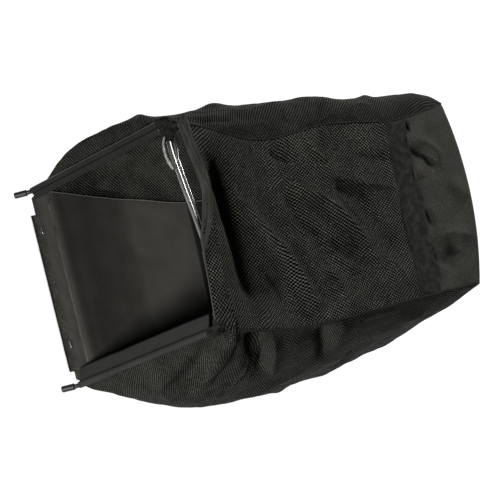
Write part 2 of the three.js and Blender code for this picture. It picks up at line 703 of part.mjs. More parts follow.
for (const [side, name] of [[LEFT, "left"], [RIGHT, "right"]]) {
  add(`top_seam_${name}`, piping(topEdge, side, lipHemShare), "tape");
  add(`base_seam_${name}`, piping(baseSeam, side, 0.08), "tape");
}

// Rolled hem of the top: it lies on the two bars at the right and has slipped back off them at the left
const hemFront = [[0, 3], [0.12, 8], [0.23, 14], [0.34, 18], [0.48, 9], [0.6, -1], [0.8, -3], [1, -7]];

function topHem() {
  const rings = [];
  const steps = 20;
  const sides = 10;
  for (let k = 0; k <= steps; k += 1) {
    const share = k / steps;
    const y = THREE.MathUtils.lerp(BAR_WIDTH / 2 - HEM_END, -BAR_WIDTH / 2 + HEM_END, share);
    const front = mouthX + through(hemFront, share);
    const [rearLeft, rearRight] = [topEdge(LEFT, hemRearShare).x, topEdge(RIGHT, hemRearShare).x];
    const rear = THREE.MathUtils.lerp(rearLeft, rearRight, share) + hemSlip(y) - 2 * GAP;
    const ring = [];
    for (let j = 0; j < sides; j += 1) {
      const angle = (2 * Math.PI * (j + 0.5)) / sides;
      const flat = Math.sign(Math.cos(angle)) * Math.abs(Math.cos(angle)) ** 0.6;
      const x = (front + rear) / 2 + ((rear - front) / 2) * flat;
      ring.push(point(x, y, mouthZ + hemLift + (HEM_THICK / 2) * Math.sin(angle)));
    }
    rings.push(ring);
  }
  return loft(rings);
}

add("top_hem", topHem(), "cloth");

// Strap at the left corner: it curls forward round the front of the bar
function cornerStrap() {
  const stand = rodR + GAP + STRAP_THICK / 2;
  const stops = [
    [0.055, -stand, 1.5, UP],
    [0.08, -8.5, 2, UP],
    [0.116, -11, 1, UP],
    [0.162, -11.5, -0.5, UP],
    [0.205, -9.5, -1, UP],
    [0.242, -stand, -1, UP],
  ];
  const centres = stops.map(([share, ahead, lift]) => barPoint(share).add(point(ahead, 0, lift)));
  const rings = centres.map((centre, k) => {
    const before = centres[Math.max(k - 1, 0)];
    const after = centres[Math.min(k + 1, centres.length - 1)];
    const along = after.clone().sub(before).normalize();
    const width = stops[k][3].clone().addScaledVector(along, -stops[k][3].dot(along)).normalize();
    const thick = along.cross(width);
    const corner = (a, b) => centre.clone().addScaledVector(width, (a * STRAP_WIDTH) / 2)
      .addScaledVector(thick, (b * STRAP_THICK) / 2);
    return [corner(1, 1), corner(1, -1), corner(-1, -1), corner(-1, 1)];
  });
  return loft(rings);
}

add("corner_strap", cornerStrap(), "tape");

// Folded cloth ends beside the bends of the hoop
function cornerFold(side) {
  const head = legHead(side);
  const along = head.clone().sub(legFoot(side)).normalize();
  const geometry = new THREE.SphereGeometry(1, 14, 8);
  geometry.scale(FOLD_WIDTH / 2, FOLD_WIDTH / 2, FOLD_LENGTH / 2);
  geometry.applyQuaternion(new THREE.Quaternion().setFromUnitVectors(UP, along));
  const spot = head.addScaledVector(along, -FOLD_LENGTH / 2 - 2);
  spot.y += side * (rodR + GAP + FOLD_WIDTH / 2);
  return geometry.translate(spot.x, spot.y, spot.z);
}

add("corner_fold_left", cornerFold(LEFT), "cloth");
add("corner_fold_right", cornerFold(RIGHT), "cloth");

export default bag;
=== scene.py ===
import math

import bpy
import numpy as np
from mathutils import Matrix, Vector, noise


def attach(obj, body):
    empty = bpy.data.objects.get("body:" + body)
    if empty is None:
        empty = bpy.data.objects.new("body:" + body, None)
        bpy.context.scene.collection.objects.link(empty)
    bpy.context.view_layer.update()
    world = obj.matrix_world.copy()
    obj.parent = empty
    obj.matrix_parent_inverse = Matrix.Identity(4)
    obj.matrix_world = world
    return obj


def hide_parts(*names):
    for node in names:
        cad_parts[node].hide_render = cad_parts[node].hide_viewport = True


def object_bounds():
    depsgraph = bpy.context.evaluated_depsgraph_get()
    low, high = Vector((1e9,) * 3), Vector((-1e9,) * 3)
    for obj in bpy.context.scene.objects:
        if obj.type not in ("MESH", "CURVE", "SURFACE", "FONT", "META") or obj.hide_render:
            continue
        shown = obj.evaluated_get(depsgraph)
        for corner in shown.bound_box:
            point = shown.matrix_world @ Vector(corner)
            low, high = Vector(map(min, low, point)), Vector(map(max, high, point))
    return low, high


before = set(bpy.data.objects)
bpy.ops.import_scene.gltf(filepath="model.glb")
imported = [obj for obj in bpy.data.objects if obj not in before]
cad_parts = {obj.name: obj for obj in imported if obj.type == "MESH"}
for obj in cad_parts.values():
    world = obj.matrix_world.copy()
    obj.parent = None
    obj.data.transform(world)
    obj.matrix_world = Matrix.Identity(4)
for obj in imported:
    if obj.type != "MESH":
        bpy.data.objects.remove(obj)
cad_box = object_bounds()

# Sizes of the bag in metres, as in the part's own source
LIP_WIDTH, BAR_WIDTH, LEG_LENGTH, LEG_ANGLE = 0.360, 0.349, 0.362, math.radians(65)
ROD_R, ROD_BEND, STUB_LENGTH, STUB_DROP, BAR_DENT = 0.004, 0.014, 0.026, math.radians(30), 0.016
CAP_WALL, CAP_DEPTH, CAP_FLOOR = 0.0014, 0.021, 0.002
LOOP_R, LOOP_BEND, LOOP_INSET, LOOP_REAR_INSET = 0.003, 0.020, 0.0145, 0.007
LOOP_DROP, LOOP_REAR_CLEAR = 0.013, 0.013
BINDING_WALL, LEFT_FLANGE, RIGHT_FLANGE, FLANGE_TURN = 0.002, 0.010, 0.026, math.radians(18)
BINDING_FOOT, BINDING_HEAD = 0.008, 0.024
LIP_BAR_LENGTH, LIP_BAR_DEPTH, LIP_BAR_THICK, LIP_BAR_REACH = 0.290, 0.027, 0.0025, 0.009
LIP_BAR_EDGE, LIP_BAR_UPTURN, LIP_BAR_SHIFT = 0.0016, 0.0045, 0.009
LIP_HEM_DEPTH, NOTCH_DEPTH = 0.034, 0.008
STAPLE_R, STAPLE_LENGTH, STAPLE_SPAN, STAPLE_INSET = 0.0007, 0.012, 0.212, 0.005
TOP_LENGTH, TOP_TAPER, BASE_TAPER, BELLY_DROP = 0.510, 0.015, 0.040, 0.048
REAR_TAPE, REAR_TAPE_BOW, REAR_BOW, LIP_RACK, REAR_RACK = 0.028, 0.003, 0.021, 0.009, 0.012
LEFT_PUCKER, RIGHT_SWELL, BASE_SHIFT, LEFT_BULGE, RIGHT_BULGE = 0.045, 0.022, 0.026, 0.118, 0.109
LEFT_PEAK = 0.25  # How much the left wall's bulge draws to a peak near the mouth
TOP_SAG, VALLEY, VALLEY_WIDTH, CLOTH, PIPING_R = 0.018, 0.034, 0.024, 0.0024, 0.0025
FOLD_RISE, FOLD_REACH, CREASE_RISE, CREASE_REACH = 0.011, 0.015, 0.009, 0.010
BAND_WIDTH, REAR_TOP_LENGTH, FLOOR_PANEL_LENGTH = 0.036, 0.087, 0.305
HEM_WIDTH, HEM_SPREAD, HEM_THICK, HEM_END, HEM_SLIP = 0.022, 0.004, 0.007, 0.012, 0.013
GAP = 0.0003  # Air between pieces that touch
TINY, TINY_SQUARE = 1e-9, 1e-12  # A length and its square are held above these before they divide anything
MERGE_WITHIN = 0.00001
LEFT, RIGHT = 1, -1

BINDING_R = ROD_R + GAP + BINDING_WALL
LIP_Z = LIP_BAR_THICK + GAP + CLOTH / 2
MOUTH_X, MOUTH_RISE = LEG_LENGTH * math.cos(LEG_ANGLE), LEG_LENGTH * math.sin(LEG_ANGLE)
MOUTH_Z = LIP_Z + MOUTH_RISE
REAR_X = MOUTH_X + TOP_LENGTH
REAR_WIDTH, BASE_REAR_WIDTH = BAR_WIDTH - TOP_TAPER, LIP_WIDTH - BASE_TAPER
HEM_LIFT = ROD_R + GAP + HEM_THICK / 2

# Places along the bag, 0 at the mouth and 1 at the rear edge of the top
FRONT = (BINDING_R + GAP + CLOTH / 2) / math.sin(LEG_ANGLE) / TOP_LENGTH
LIP_HEM_END, REAR_PANEL = 0.06, 0.84
BAND_END = 1 - REAR_TOP_LENGTH / TOP_LENGTH
BAND_START = BAND_END - BAND_WIDTH / TOP_LENGTH
FLOOR_END = FLOOR_PANEL_LENGTH / REAR_X
HEM_REAR = (HEM_WIDTH + HEM_SPREAD) / TOP_LENGTH


def through(stations, at):
    """A smooth curve through a few stations that never swings past them."""
    xs, ys = np.array(stations, float).T
    x = np.clip(np.asarray(at, float), xs[0], xs[-1])
    i = np.clip(np.searchsorted(xs, x, side="left") - 1, 0, len(xs) - 2)
    rise = np.diff(ys) / np.diff(xs)
    slope = np.empty(len(xs))
    slope[0], slope[-1] = rise[0], rise[-1]
    before, after = rise[:-1], rise[1:]
    both = before * after
    slope[1:-1] = np.where(both > 0, 2 * both / np.where(both > 0, before + after, 1), 0)
    span = xs[i + 1] - xs[i]
    u = (x - xs[i]) / span
    flat = ys[i] * (2 * u**3 - 3 * u**2 + 1) + ys[i + 1] * (3 * u**2 - 2 * u**3)
    return flat + span * (slope[i] * (u**3 - 2 * u**2 + u) + slope[i + 1] * (u**3 - u**2))


def smooth(x, low, high):
    """A smooth step from 0 at the low number to 1 at the high one."""
    u = np.clip((np.asarray(x, float) - low) / (high - low), 0, 1)
    return u * u * (3 - 2 * u)


def spot(x, y, z):
    return np.stack(np.broadcast_arrays(np.asarray(x, float), y, z), -1)


# How the edges and walls swell and turn along the bag: places from 0 to 1, each with a share of a size above
PUCKER = [(0, 0), (0.1, 0.38), (0.28, 1), (0.56, 0.53), (0.76, 0.6), (1, 0)]
SWELL = [(0, 0), (0.11, 0.55), (0.27, 1), (0.4, 0.92), (0.65, 0.5), (0.83, 0.2), (1, 0)]
DRIFT = [(0, 0), (0.1, 0.08), (0.2, 0.25), (0.3, 0.5), (0.45, 1), (0.6, 0.7), (0.8, 0.25), (1, 0)]
RUN = [(0, 0), (0.06, LIP_HEM_DEPTH / REAR_X), (0.3, 0.31), (0.68, 0.69), (0.8, 0.85), (0.88, 0.95),
       (0.95, 1.005), (1, 1.02)]
DROP = [(0, 0), (0.06, 0), (0.1, -0.18), (0.2, -0.74), (0.28, -1), (0.68, -1), (0.8, -0.46), (0.84, 0)]
CLIMB = [(0.84, 0), (0.88, 0.18), (0.95, 0.55), (1, 1)]
LEFT_FULL = [(0.3, 1.04), (0.45, 1), (0.6, 0.95), (0.8, 0.86), (0.9, 0.68), (0.96, 0.42), (1, 0.05)]
RIGHT_FULL = [(0, 0), (0.02, 0.28), (0.05, 0.46), (0.1, 0.67), (0.2, 0.88), (0.3, 0.92), (0.4, 0.83),
              (0.5, 0.81), (0.6, 0.8), (0.8, 0.59), (0.9, 0.36), (1, 0.04)]
BULGE = {
    LEFT: ([(0, 0), (0.02, 0.3), (0.05, 0.42), (0.1, 0.53), (0.2, 0.84), *LEFT_FULL],
           [(0, 0), (0.02, 0.6), (0.05, 0.86), (0.1, 0.97), (0.2, 1), *LEFT_FULL]),
    RIGHT: (RIGHT_FULL, RIGHT_FULL),
}
BULGE_SIZE = {LEFT: LEFT_BULGE, RIGHT: RIGHT_BULGE}
PULL = {LEFT: ((-0.1, 1, 0.35), (-0.1, 1, 0.1)), RIGHT: ((0, -0.7, -1), (0, -1.2, 0.1))}


def top_edge(side, s):
    """Where a side wall meets the top, at a place along the bag."""
    straight = BAR_WIDTH / 2 + (REAR_WIDTH - BAR_WIDTH) / 2 * s
    bend = -LEFT_PUCKER * through(PUCKER, s) if side == LEFT else RIGHT_SWELL * through(SWELL, s)
    skew = 0.56 * BAR_DENT * (1 - smooth(s, 0, 0.15)) if side == LEFT else 0
    return spot(MOUTH_X + TOP_LENGTH * s + side * REAR_RACK * s - skew, side * (straight + bend), MOUTH_Z)


def base_edge(side, s):
    """Where a side wall meets the floor, the base or the rear."""
    s = np.asarray(s, float)
    straight = LIP_WIDTH / 2 + (BASE_REAR_WIDTH - LIP_WIDTH) / 2 * s
    behind = np.maximum(s - LIP_HEM_END, 0) / (1 - LIP_HEM_END)
    rack = side * (-LIP_RACK + (REAR_RACK + LIP_RACK) * behind)
    rise = (MOUTH_RISE - REAR_TAPE) * through(CLIMB, s)
    z = LIP_Z + BELLY_DROP * through(DROP, s) + rise
    return spot(REAR_X * through(RUN, s) + rack, side * straight - BASE_SHIFT * through(DRIFT, s), z)


def base_seam(side, s):
    """The lower seam cords lie a little inside the base cloth."""
    along = base_edge(side, np.minimum(s + 0.004, 1)) - base_edge(side, s - 0.004)
    inward = spot(-along[..., 2], 0, along[..., 0])
    inward /= np.linalg.norm(inward, axis=-1, keepdims=True)
    return base_edge(side, s) + inward * (PIPING_R - CLOTH / 2) / 2


def bezier(a, b, c, d, t):
    """A curve from a to d that b and c draw towards them."""
    t = np.asarray(t, float)[..., None]
    return (1 - t) ** 3 * a + 3 * (1 - t) ** 2 * t * b + 3 * (1 - t) * t**2 * c + t**3 * d


# The main folds: each runs through places along and across its wall, with a share of the main fold's height
TOP_MAIN_FOLDS = [
    ([(0.126, 0.25), (0.21, 0.425), (0.283, 0.615), (0.341, 0.89)], 1),
    ([(0.335, 0.3), (0.368, 0.489), (0.44, 0.64), (0.5, 0.78)], -0.7),
    ([(0.393, 0.3), (0.503, 0.431), (0.58, 0.621), (0.601, 0.72)], 0.85),
    ([(0.545, 0.33), (0.6, 0.41), (0.665, 0.6), (0.68, 0.7)], -0.6),
]
SIDE_MAIN_FOLDS = {
    LEFT: [],
    RIGHT: [
        ([(0.05, 0.02), (0.067, 0.112), (0.081, 0.24), (0.102, 0.347), (0.128, 0.475), (0.12, 0.56)], 1),
        ([(0.1, 0.03), (0.135, 0.096), (0.17, 0.204), (0.19, 0.339), (0.2, 0.45)], -1.1),
    ],
}


def away_from(spots, line):
    """How far each spot lies from a line of points."""
    line = np.asarray(line, float)
    least = np.full(spots.shape[:-1], np.inf)
    for a, b in zip(line[:-1], line[1:]):
        way = b - a
        share = np.clip(((spots - a) @ way) / max(way @ way, TINY_SQUARE), 0, 1)
        least = np.minimum(least, np.linalg.norm(spots - a - share[..., None] * way, axis=-1))
    return least


def main_folds(folds, s, t, width, rise, reach):
    """Height of the main folds, which fade out towards the seams."""
    s, t = np.broadcast_arrays(np.asarray(s, float), t)
    flat = np.array([TOP_LENGTH, width])
    spots = np.stack([s, t], -1) * flat
    height = np.zeros(s.shape)
    for run, share in folds:
        height += rise * share * np.exp(-((away_from(spots, np.array(run) * flat) / reach) ** 2))
    return height * smooth(t, 0.01, 0.09) * smooth(1 - t, 0.01, 0.09)


def side_wall(side, s, t):
    """A side wall, from its top edge at t = 0 to its base edge at t = 1."""
    opened = np.maximum(0, (s - FRONT) / (1 - FRONT))
    top, base = top_edge(side, s), base_edge(side, s)
    (pull_top, pull_base), (full_top, full_base) = PULL[side], BULGE[side]
    upper = (BULGE_SIZE[side] * through(full_top, opened))[..., None] * np.array(pull_top)
    lower = (BULGE_SIZE[side] * through(full_base, opened))[..., None] * np.array(pull_base)
    peak = (LEFT_PEAK * (1 - smooth(s, 0.02, 0.22)) if side == LEFT else 0 * np.asarray(s, float))[..., None]
    wall = bezier(top, top + upper + (base - top) * peak, base + lower + (top - base) * peak, base, t)
    creases = main_folds(SIDE_MAIN_FOLDS[side], s, t, LEG_LENGTH, CREASE_RISE, CREASE_REACH)
    wall[..., 1] += side * smooth(s, FRONT, FRONT + 0.02) * creases
    return wall


def hem_slip(y):
    """How far the hem has slipped to the rear at a place across the bag."""
    slip = [(0, 0), (0.12, 0.4), (0.23, 0.85), (0.34, 1), (0.5, 0.5), (0.66, 0), (1, 0)]
    return HEM_SLIP * through(slip, np.clip(0.5 - np.asarray(y) / BAR_WIDTH, 0, 1))


def top_wall(s, t):
    """The top, from its left edge at t = 0 to its right edge at t = 1."""
    left, right = top_edge(LEFT, s), top_edge(RIGHT, s)
    sag = TOP_SAG * through([(0, 0), (0.1, 0.5), (0.2, 1), (0.8, 0.8), (1, 0)], s)
    down = spot(0, 0, -sag)
    wall = bezier(left, left + (right - left) / 3 + down, right + (left - right) / 3 + down, right, t)
    middle = through([(0, 0.1), (0.15, 0.1), (0.33, 0.125), (0.6, 0.155), (1, 0.145)], t)
    across = smooth(t, 0.05, 0.3) * smooth(1 - t, 0.05, 0.25)
    wall[..., 2] -= VALLEY * across * np.exp(-(((s - middle) * TOP_LENGTH / VALLEY_WIDTH) ** 2))
    off_seams = smooth(t, 0, 0.06) * smooth(1 - t, 0, 0.06)
    wall[..., 2] += HEM_LIFT * (1 - smooth(s, HEM_REAR, HEM_REAR + 0.03)) * off_seams
    folds = main_folds(TOP_MAIN_FOLDS, s, t, BAR_WIDTH, FOLD_RISE, FOLD_REACH)
    wall[..., 2] += smooth(BAND_START - s, 0, 0.05) * folds
    wall[..., 0] += hem_slip(wall[..., 1]) * (1 - smooth(s, HEM_REAR, HEM_REAR + 0.12))
    wall[..., 0] += REAR_BOW * 4 * t * (1 - t) * smooth(s, 0.7, 1)
    return wall


def base_wall(s, t):
    """The floor, the base and the rear in one run, from left to right."""
    share = np.asarray(t, float)[..., None]
    wall = base_edge(LEFT, s) * (1 - share) + base_edge(RIGHT, s) * share
    wall[..., 0] += REAR_BOW * 4 * t * (1 - t) * smooth(s, 0.8, 1)
    return wall


def rear_tape_wall(u, t):
    """The edge that is turned down from the top at u = 0 to the rear wall at u = 1."""
    one = np.ones_like(np.asarray(t, float))
    share = np.asarray(u, float)[..., None]
    wall = top_wall(one, t) * (1 - share) + base_wall(one, t) * share
    wall[..., 0] += REAR_TAPE_BOW * 4 * u * (1 - u)
    return wall


# ---- making pieces

def only(piece):
    """Makes one piece the selected and active one."""
    bpy.ops.object.select_all(action="DESELECT")
    piece.select_set(True)
    bpy.context.view_layer.objects.active = piece


def finish_with(piece, kind, **settings):
    """Adds a modifier and applies it."""
    only(piece)
    bpy.ops.object.modifier_add(type=kind)
    modifier = piece.modifiers[-1]
    for key, value in settings.items():
        setattr(modifier, key, value)
    bpy.ops.object.modifier_apply(modifier=modifier.name)


def dress(piece, finish, nodes=(), smooth_angle=None):
    """Gives a piece its finish, its body and the nodes that it stands for."""
    piece.data.materials.clear()
    piece.data.materials.append(finish)
    only(piece)
    if smooth_angle is None:
        bpy.ops.object.shade_smooth()
    else:
        bpy.ops.object.shade_smooth_by_angle(angle=math.radians(smooth_angle))
    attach(piece, "root")
    if nodes:
        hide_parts(*nodes)
    return piece


def put(name, data):
    """A new object of the scene."""
    thing = bpy.data.objects.new(name, data)
    bpy.context.scene.collection.objects.link(thing)
    return thing


def new_piece(name, spots, faces):
    mesh = bpy.data.meshes.new(name)
    mesh.from_pydata([tuple(p) for p in spots], [], [tuple(f) for f in faces])
    mesh.validate()
    return put(name, mesh)


def faced_out(piece, merge=False):
    """Turns a closed piece's faces outwards, after its doubles are merged where that is asked."""
    only(piece)
    bpy.ops.object.mode_set(mode="EDIT")
    bpy.ops.mesh.select_all(action="SELECT")
    if merge:
        bpy.ops.mesh.remove_doubles(threshold=MERGE_WITHIN)
    bpy.ops.mesh.normals_make_consistent(inside=False)
    bpy.ops.object.mode_set(mode="OBJECT")
    return piece


UP = np.array([0, 0, 1.0])


def unit(way):
    return way / np.linalg.norm(way)


def swung(first, second, angle):
    """Turns by an angle from the first of two square directions towards the second."""
    return first * math.cos(angle) + second * math.sin(angle)


def uneven(x, y, z):
    """A number that drifts slowly from place to place, the same on every run."""
    return noise.noise(Vector((x, y, z)))


def frame_along(way, near):
    """Two directions square to a way, the first as near as can be to the given one."""
    first = unit(near - way * (near @ way))
    return first, np.cross(way, first)


def lengths(line):
    """How far along a line each of its spots lies."""
    steps = np.linalg.norm(np.diff(line, axis=0), axis=1)
    return np.concatenate([[0], np.cumsum(steps)])


def cloth_map(piece, wall):
    """The piece's own map: metres along and across the cloth."""
    rows, columns = wall.shape[:2]
    middle = columns // 2
    along = lengths(wall[:, middle])
    across = np.stack([lengths(row) for row in wall])
    across -= across[:, middle:middle + 1]
    spread = np.stack([np.repeat(along[:, None], columns, 1), across], -1).reshape(-1, 2)
    layer = piece.data.uv_layers.new(name="cloth")
    corners = np.empty(len(piece.data.loops), int)
    piece.data.loops.foreach_get("vertex_index", corners)
    layer.data.foreach_set("uv", spread[corners].ravel())


def grid_faces(rows, columns, tube=False):
    """The faces between the spots of a grid; a tube's last column meets its first."""
    index = np.arange(rows * columns).reshape(rows, columns)
    here, after = (index, np.roll(index, -1, axis=1)) if tube else (index[:, :-1], index[:, 1:])
    return np.stack([here[:-1], after[:-1], after[1:], here[1:]], -1).reshape(-1, 4)


def cloth_piece(name, wall, thickness, tube=False):
    """A sheet or a tube of cloth from a grid of spots, with its thickness and its own map."""
    wall = np.asarray(wall, float)
    piece = new_piece(name, wall.reshape(-1, 3), grid_faces(*wall.shape[:2], tube))
    cloth_map(piece, wall)
    finish_with(piece, "SOLIDIFY", thickness=thickness, offset=0, use_even_offset=False)
    return faced_out(piece) if tube else piece


INNER_MAP = 8.0  # How far the map of a cloth's inner side is shifted, in metres


def turn_map(piece, outward):
    """Shifts the map of the cloth's inner side, so that a finish can tell the two sides apart; the side net
    paints that side's crests lighter there, as painted light.
    """
    mesh = piece.data
    outness = np.array([face.normal for face in mesh.polygons]) @ np.array(outward)
    half = sum(1 for face in mesh.polygons if max(face.vertices) < len(mesh.vertices) // 2)
    inner = range(half) if outness[:half].mean() < 0 else range(half, 2 * half)
    for number in inner:
        for loop in mesh.polygons[number].loop_indices:
            mesh.uv_layers["cloth"].data[loop].uv.x += INNER_MAP


def facing(wall, outward):
    """The grid's normals, on the side that faces outward."""
    normal = np.cross(np.gradient(wall, axis=0), np.gradient(wall, axis=1))
    normal /= np.maximum(np.linalg.norm(normal, axis=-1, keepdims=True), TINY)
    return -normal if (normal * np.array(outward)).sum(-1).mean() < 0 else normal


def near_line(wall, line):
    """How far each spot of a wall lies from a line on it, and how far along the line it is."""
    best = np.full(wall.shape[:2], 9.0)
    place = np.zeros(wall.shape[:2])
    whole = lengths(line)
    for k in range(len(line) - 1):
        way = line[k + 1] - line[k]
        size = max(float(way @ way), TINY_SQUARE)
        share = np.clip(((wall - line[k]) @ way) / size, 0, 1)
        gap = np.linalg.norm(wall - (line[k] + share[..., None] * way), axis=-1)
        closer = gap < best
        best = np.where(closer, gap, best)
        place = np.where(closer, (whole[k] + share * math.sqrt(size)) / max(whole[-1], TINY), place)
    return best, place


def fold(rise, width, round_by, *run):
    """A fold of a wall. Its height and width are in millimetres, and it runs through places in thousandths
    along and across the wall, which are given in turn."""
    along, across = ([number / 1000 for number in run[first::2]] for first in (0, 1))
    return list(enumerate(along)), list(enumerate(across)), rise / 1000, width / 1000, round_by


def folds_on(wall, shape, folds):
    """The height of a wall's folds."""
    height = np.zeros(wall.shape[:2])
    for along, across, rise, width, round_by in folds:
        fine = np.linspace(0, len(along) - 1, 8 * len(along))
        track = shape(through(along, fine), through(across, fine))
        gap, place = near_line(wall, track)
        ends = smooth(place, -0.02, 0.3) * smooth(1 - place, -0.02, 0.3)
        height += rise * (0.25 + 0.75 * ends) * np.exp(-((gap / width) ** round_by))
    return height


def ripples(wall, size, depth, seed):
    """Low soft unevenness, the same on every run."""
    out = np.empty(wall.shape[:2])
    shift = Vector((3.7 * seed, 1.3 * seed, 5.1 * seed))
    for i, row in enumerate(wall):
        for j, place in enumerate(row):
            at = Vector(place) / size + shift
            out[i, j] = noise.noise(at) + 0.5 * noise.noise(at * 2.1)
    return out * depth


def off_edges(s, t, s_ends, keep):
    """0 on a wall's sewn edges and 1 away from them."""
    along = smooth(s, s_ends[0], s_ends[0] + keep) * smooth(s_ends[1] - s, 0, keep)
    return along * (smooth(t, 0, keep) * smooth(1 - t, 0, keep))


def grid(from_s, to_s, rows, columns, margin=0.004):
    """Places along and across a wall, which stops a margin short of its seams."""
    s = np.linspace(from_s, to_s, rows)[:, None] * np.ones((1, columns))
    t = np.linspace(margin, 1 - margin, columns)[None, :] * np.ones((rows, 1))
    return s, t


def rounded(corners):
    """Corner points become arcs of the given radius; a radius of 0 keeps the point."""
    spots = []
    for k, (corner, radius) in enumerate(corners):
        corner = np.asarray(corner, float)
        if not radius:
            spots.append(corner)
            continue
        back = unit(np.asarray(corners[k - 1][0], float) - corner)
        ahead = unit(np.asarray(corners[k + 1][0], float) - corner)
        half = math.acos(float(np.clip(back @ ahead, -1, 1))) / 2
        reach = radius / math.tan(half)
        start, end = corner + back * reach, corner + ahead * reach
        centre = corner + unit(back + ahead) * radius / math.sin(half)
        turn = math.pi - 2 * half
        steps = max(6, math.ceil(turn / 0.12))
        for share in (i / steps for i in range(steps + 1)):
            a = math.sin((1 - share) * turn) / math.sin(turn)
            b = math.sin(share * turn) / math.sin(turn)
            spots.append(centre + (start - centre) * a + (end - centre) * b)
    return spots


def bent_rod(name, spots, radius, sides):
    """A round rod along a line of spots, drawn as a curve and turned into a mesh."""
    curve = bpy.data.curves.new(name, "CURVE")
    curve.dimensions = "3D"
    curve.bevel_depth, curve.bevel_resolution = radius, sides
    curve.use_fill_caps = True
    spline = curve.splines.new("POLY")
    spline.points.add(len(spots) - 1)
    for point, place in zip(spline.points, spots):
        point.co = (*place, 1)
    only(put(name, curve))
    bpy.ops.object.convert(target="MESH")
    return faced_out(bpy.context.view_layer.objects.active, merge=True)


def loft(name, rings):
    """A closed body from rings of spots."""
    rings = np.asarray(rings, float)
    count, size = rings.shape[:2]
    ends = [tuple(range(size)), tuple(range((count - 1) * size, count * size))]
    return faced_out(new_piece(name, rings.reshape(-1, 3), [*grid_faces(count, size, True), *ends]))


def stitch_row(name, line, up, length=0.0030, gap=0.0016, thick=0.00045):
    """A row of lockstitches: one stitch is modelled and copied along the line."""
    bpy.ops.object.select_all(action="DESELECT")
    bpy.ops.mesh.primitive_uv_sphere_add(segments=8, ring_count=6, radius=1)
    one = bpy.context.active_object
    shape = np.array([v.co[:] for v in one.data.vertices])
    faces = [tuple(f.vertices) for f in one.data.polygons]
    bpy.data.objects.remove(one)
    line, up = np.asarray(line, float), np.asarray(up, float)
    whole = lengths(line)
    spots, all_faces = [], []
    count = int(whole[-1] / (length + gap))
    for k in range(count):
        at = (k + 0.5) * (length + gap)
        i = min(max(int(np.searchsorted(whole, at)) - 1, 0), len(line) - 2)
        share = (at - whole[i]) / max(whole[i + 1] - whole[i], TINY)
        place = line[i] * (1 - share) + line[i + 1] * share
        rise = up[i] * (1 - share) + up[i + 1] * share
        way = line[i + 1] - line[i]
        way /= max(np.linalg.norm(way), TINY)
        rise, side = frame_along(way, rise)
        axes = np.stack([way * length / 2, -side * thick, rise * thick])
        all_faces += [tuple(v + len(spots) * len(shape) for v in face) for face in faces]
        spots.append(shape @ axes + place)
    return new_piece(name, np.concatenate(spots), all_faces)


# ---- finishes

def operator(kind, swap=False):
    return lambda self, other: self.math(kind, other, swap=swap)


class Value:
    """What a node gives out; a sum with it adds Math nodes."""

    def __init__(self, finish, socket):
        self.finish, self.socket = finish, socket

    def math(self, kind, *others, swap=False):
        parts = [*others, self] if swap else [self, *others]
        return self.finish.node("ShaderNodeMath", {"operation": kind}, dict(enumerate(parts)))

    __add__ = __radd__ = operator("ADD")
    __mul__ = __rmul__ = operator("MULTIPLY")
    __sub__, __rsub__ = operator("SUBTRACT"), operator("SUBTRACT", swap=True)
    __truediv__, __rtruediv__ = operator("DIVIDE"), operator("DIVIDE", swap=True)

    def wave(self, pitch):
        """0 to 1 and back over each pitch."""
        return (self * (2 * math.pi / pitch)).math("SINE") * 0.5 + 0.5

    def step(self, low, high):
        """A smooth step from 0 at the low number to 1 at the high one."""
        settings = {"interpolation_type": "SMOOTHSTEP", "clamp": True}
        sockets = {"Value": self, "From Min": low, "From Max": high}
        return self.finish.node("ShaderNodeMapRange", settings, sockets)


class Finish:
    """A material: its shader, and the nodes that feed it.

    The colour and roughness given here are for viewers that can't follow the nodes.
    """

    def __init__(self, name, colour, roughness, **sockets):
        self.material = bpy.data.materials.new(name)
        self.material.use_nodes = True
        self.tree = self.material.node_tree
        self.shader = self.tree.nodes["Principled BSDF"]
        self.fill(self.shader, {"Base Color": (*colour, 1), "Roughness": roughness})
        self.fill(self.shader, {key.replace("_", " "): value for key, value in sockets.items()})

    def fill(self, node, inputs):
        for key, value in inputs.items():
            if isinstance(value, Value):
                self.tree.links.new(value.socket, node.inputs[key])
            else:
                node.inputs[key].default_value = value

    def node(self, kind, settings=None, inputs=None, output=0):
        made = self.tree.nodes.new(kind)
        for key, value in (settings or {}).items():
            setattr(made, key, value)
        self.fill(made, inputs or {})
        return Value(self, made.outputs[output])

    def place(self):
        """Where the spot lies on the piece, in metres."""
        return self.node("ShaderNodeTexCoord", output="Object")

    def part(self, place, number):
        """One of a place's three numbers."""
        return self.node("ShaderNodeSeparateXYZ", None, {0: place}, output=number)

    def cloth_place(self):
        """How far along and across the cloth the spot lies, in metres."""
        both = self.node("ShaderNodeUVMap", {"uv_map": "cloth"})
        return both, self.part(both, 0), self.part(both, 1)

    def stretched(self, place, scale):
        return self.node("ShaderNodeMapping", None, {"Vector": place, "Scale": scale})

    def cloud(self, place, size, detail=3.0):
        """Soft noise from 0 to 1 whose patches are about this many metres wide."""
        sockets = {"Vector": place, "Scale": 1 / size, "Detail": detail, "Roughness": 0.55}
        return self.node("ShaderNodeTexNoise", None, sockets)

    def mix(self, share, low, high):
        """A colour between two colours."""
        low, high = ((*colour, 1) if isinstance(colour, tuple) else colour for colour in (low, high))
        return self.node("ShaderNodeMix", {"data_type": "RGBA"}, {0: share, 6: low, 7: high}, output=2)

    def used(self, cloth, clouds, share, soil, lint, crest):
        """The colour of cloth in use: soil in soft patches, and pale lint here and there."""
        shaded = self.mix(clouds.step(0.25, 0.75) * share, cloth, soil)
        return self.mix(lint * 0.4, shaded, scaled(crest, 2.5))

    def look(self, colour, roughness, height, depth):
        """Links the colour, the roughness and a relief whose full height is the depth in metres."""
        relief = self.node("ShaderNodeBump", None, {"Height": height, "Distance": depth, "Strength": 1.0})
        self.fill(self.shader, {"Base Color": colour, "Roughness": roughness, "Normal": relief})
        return self.material


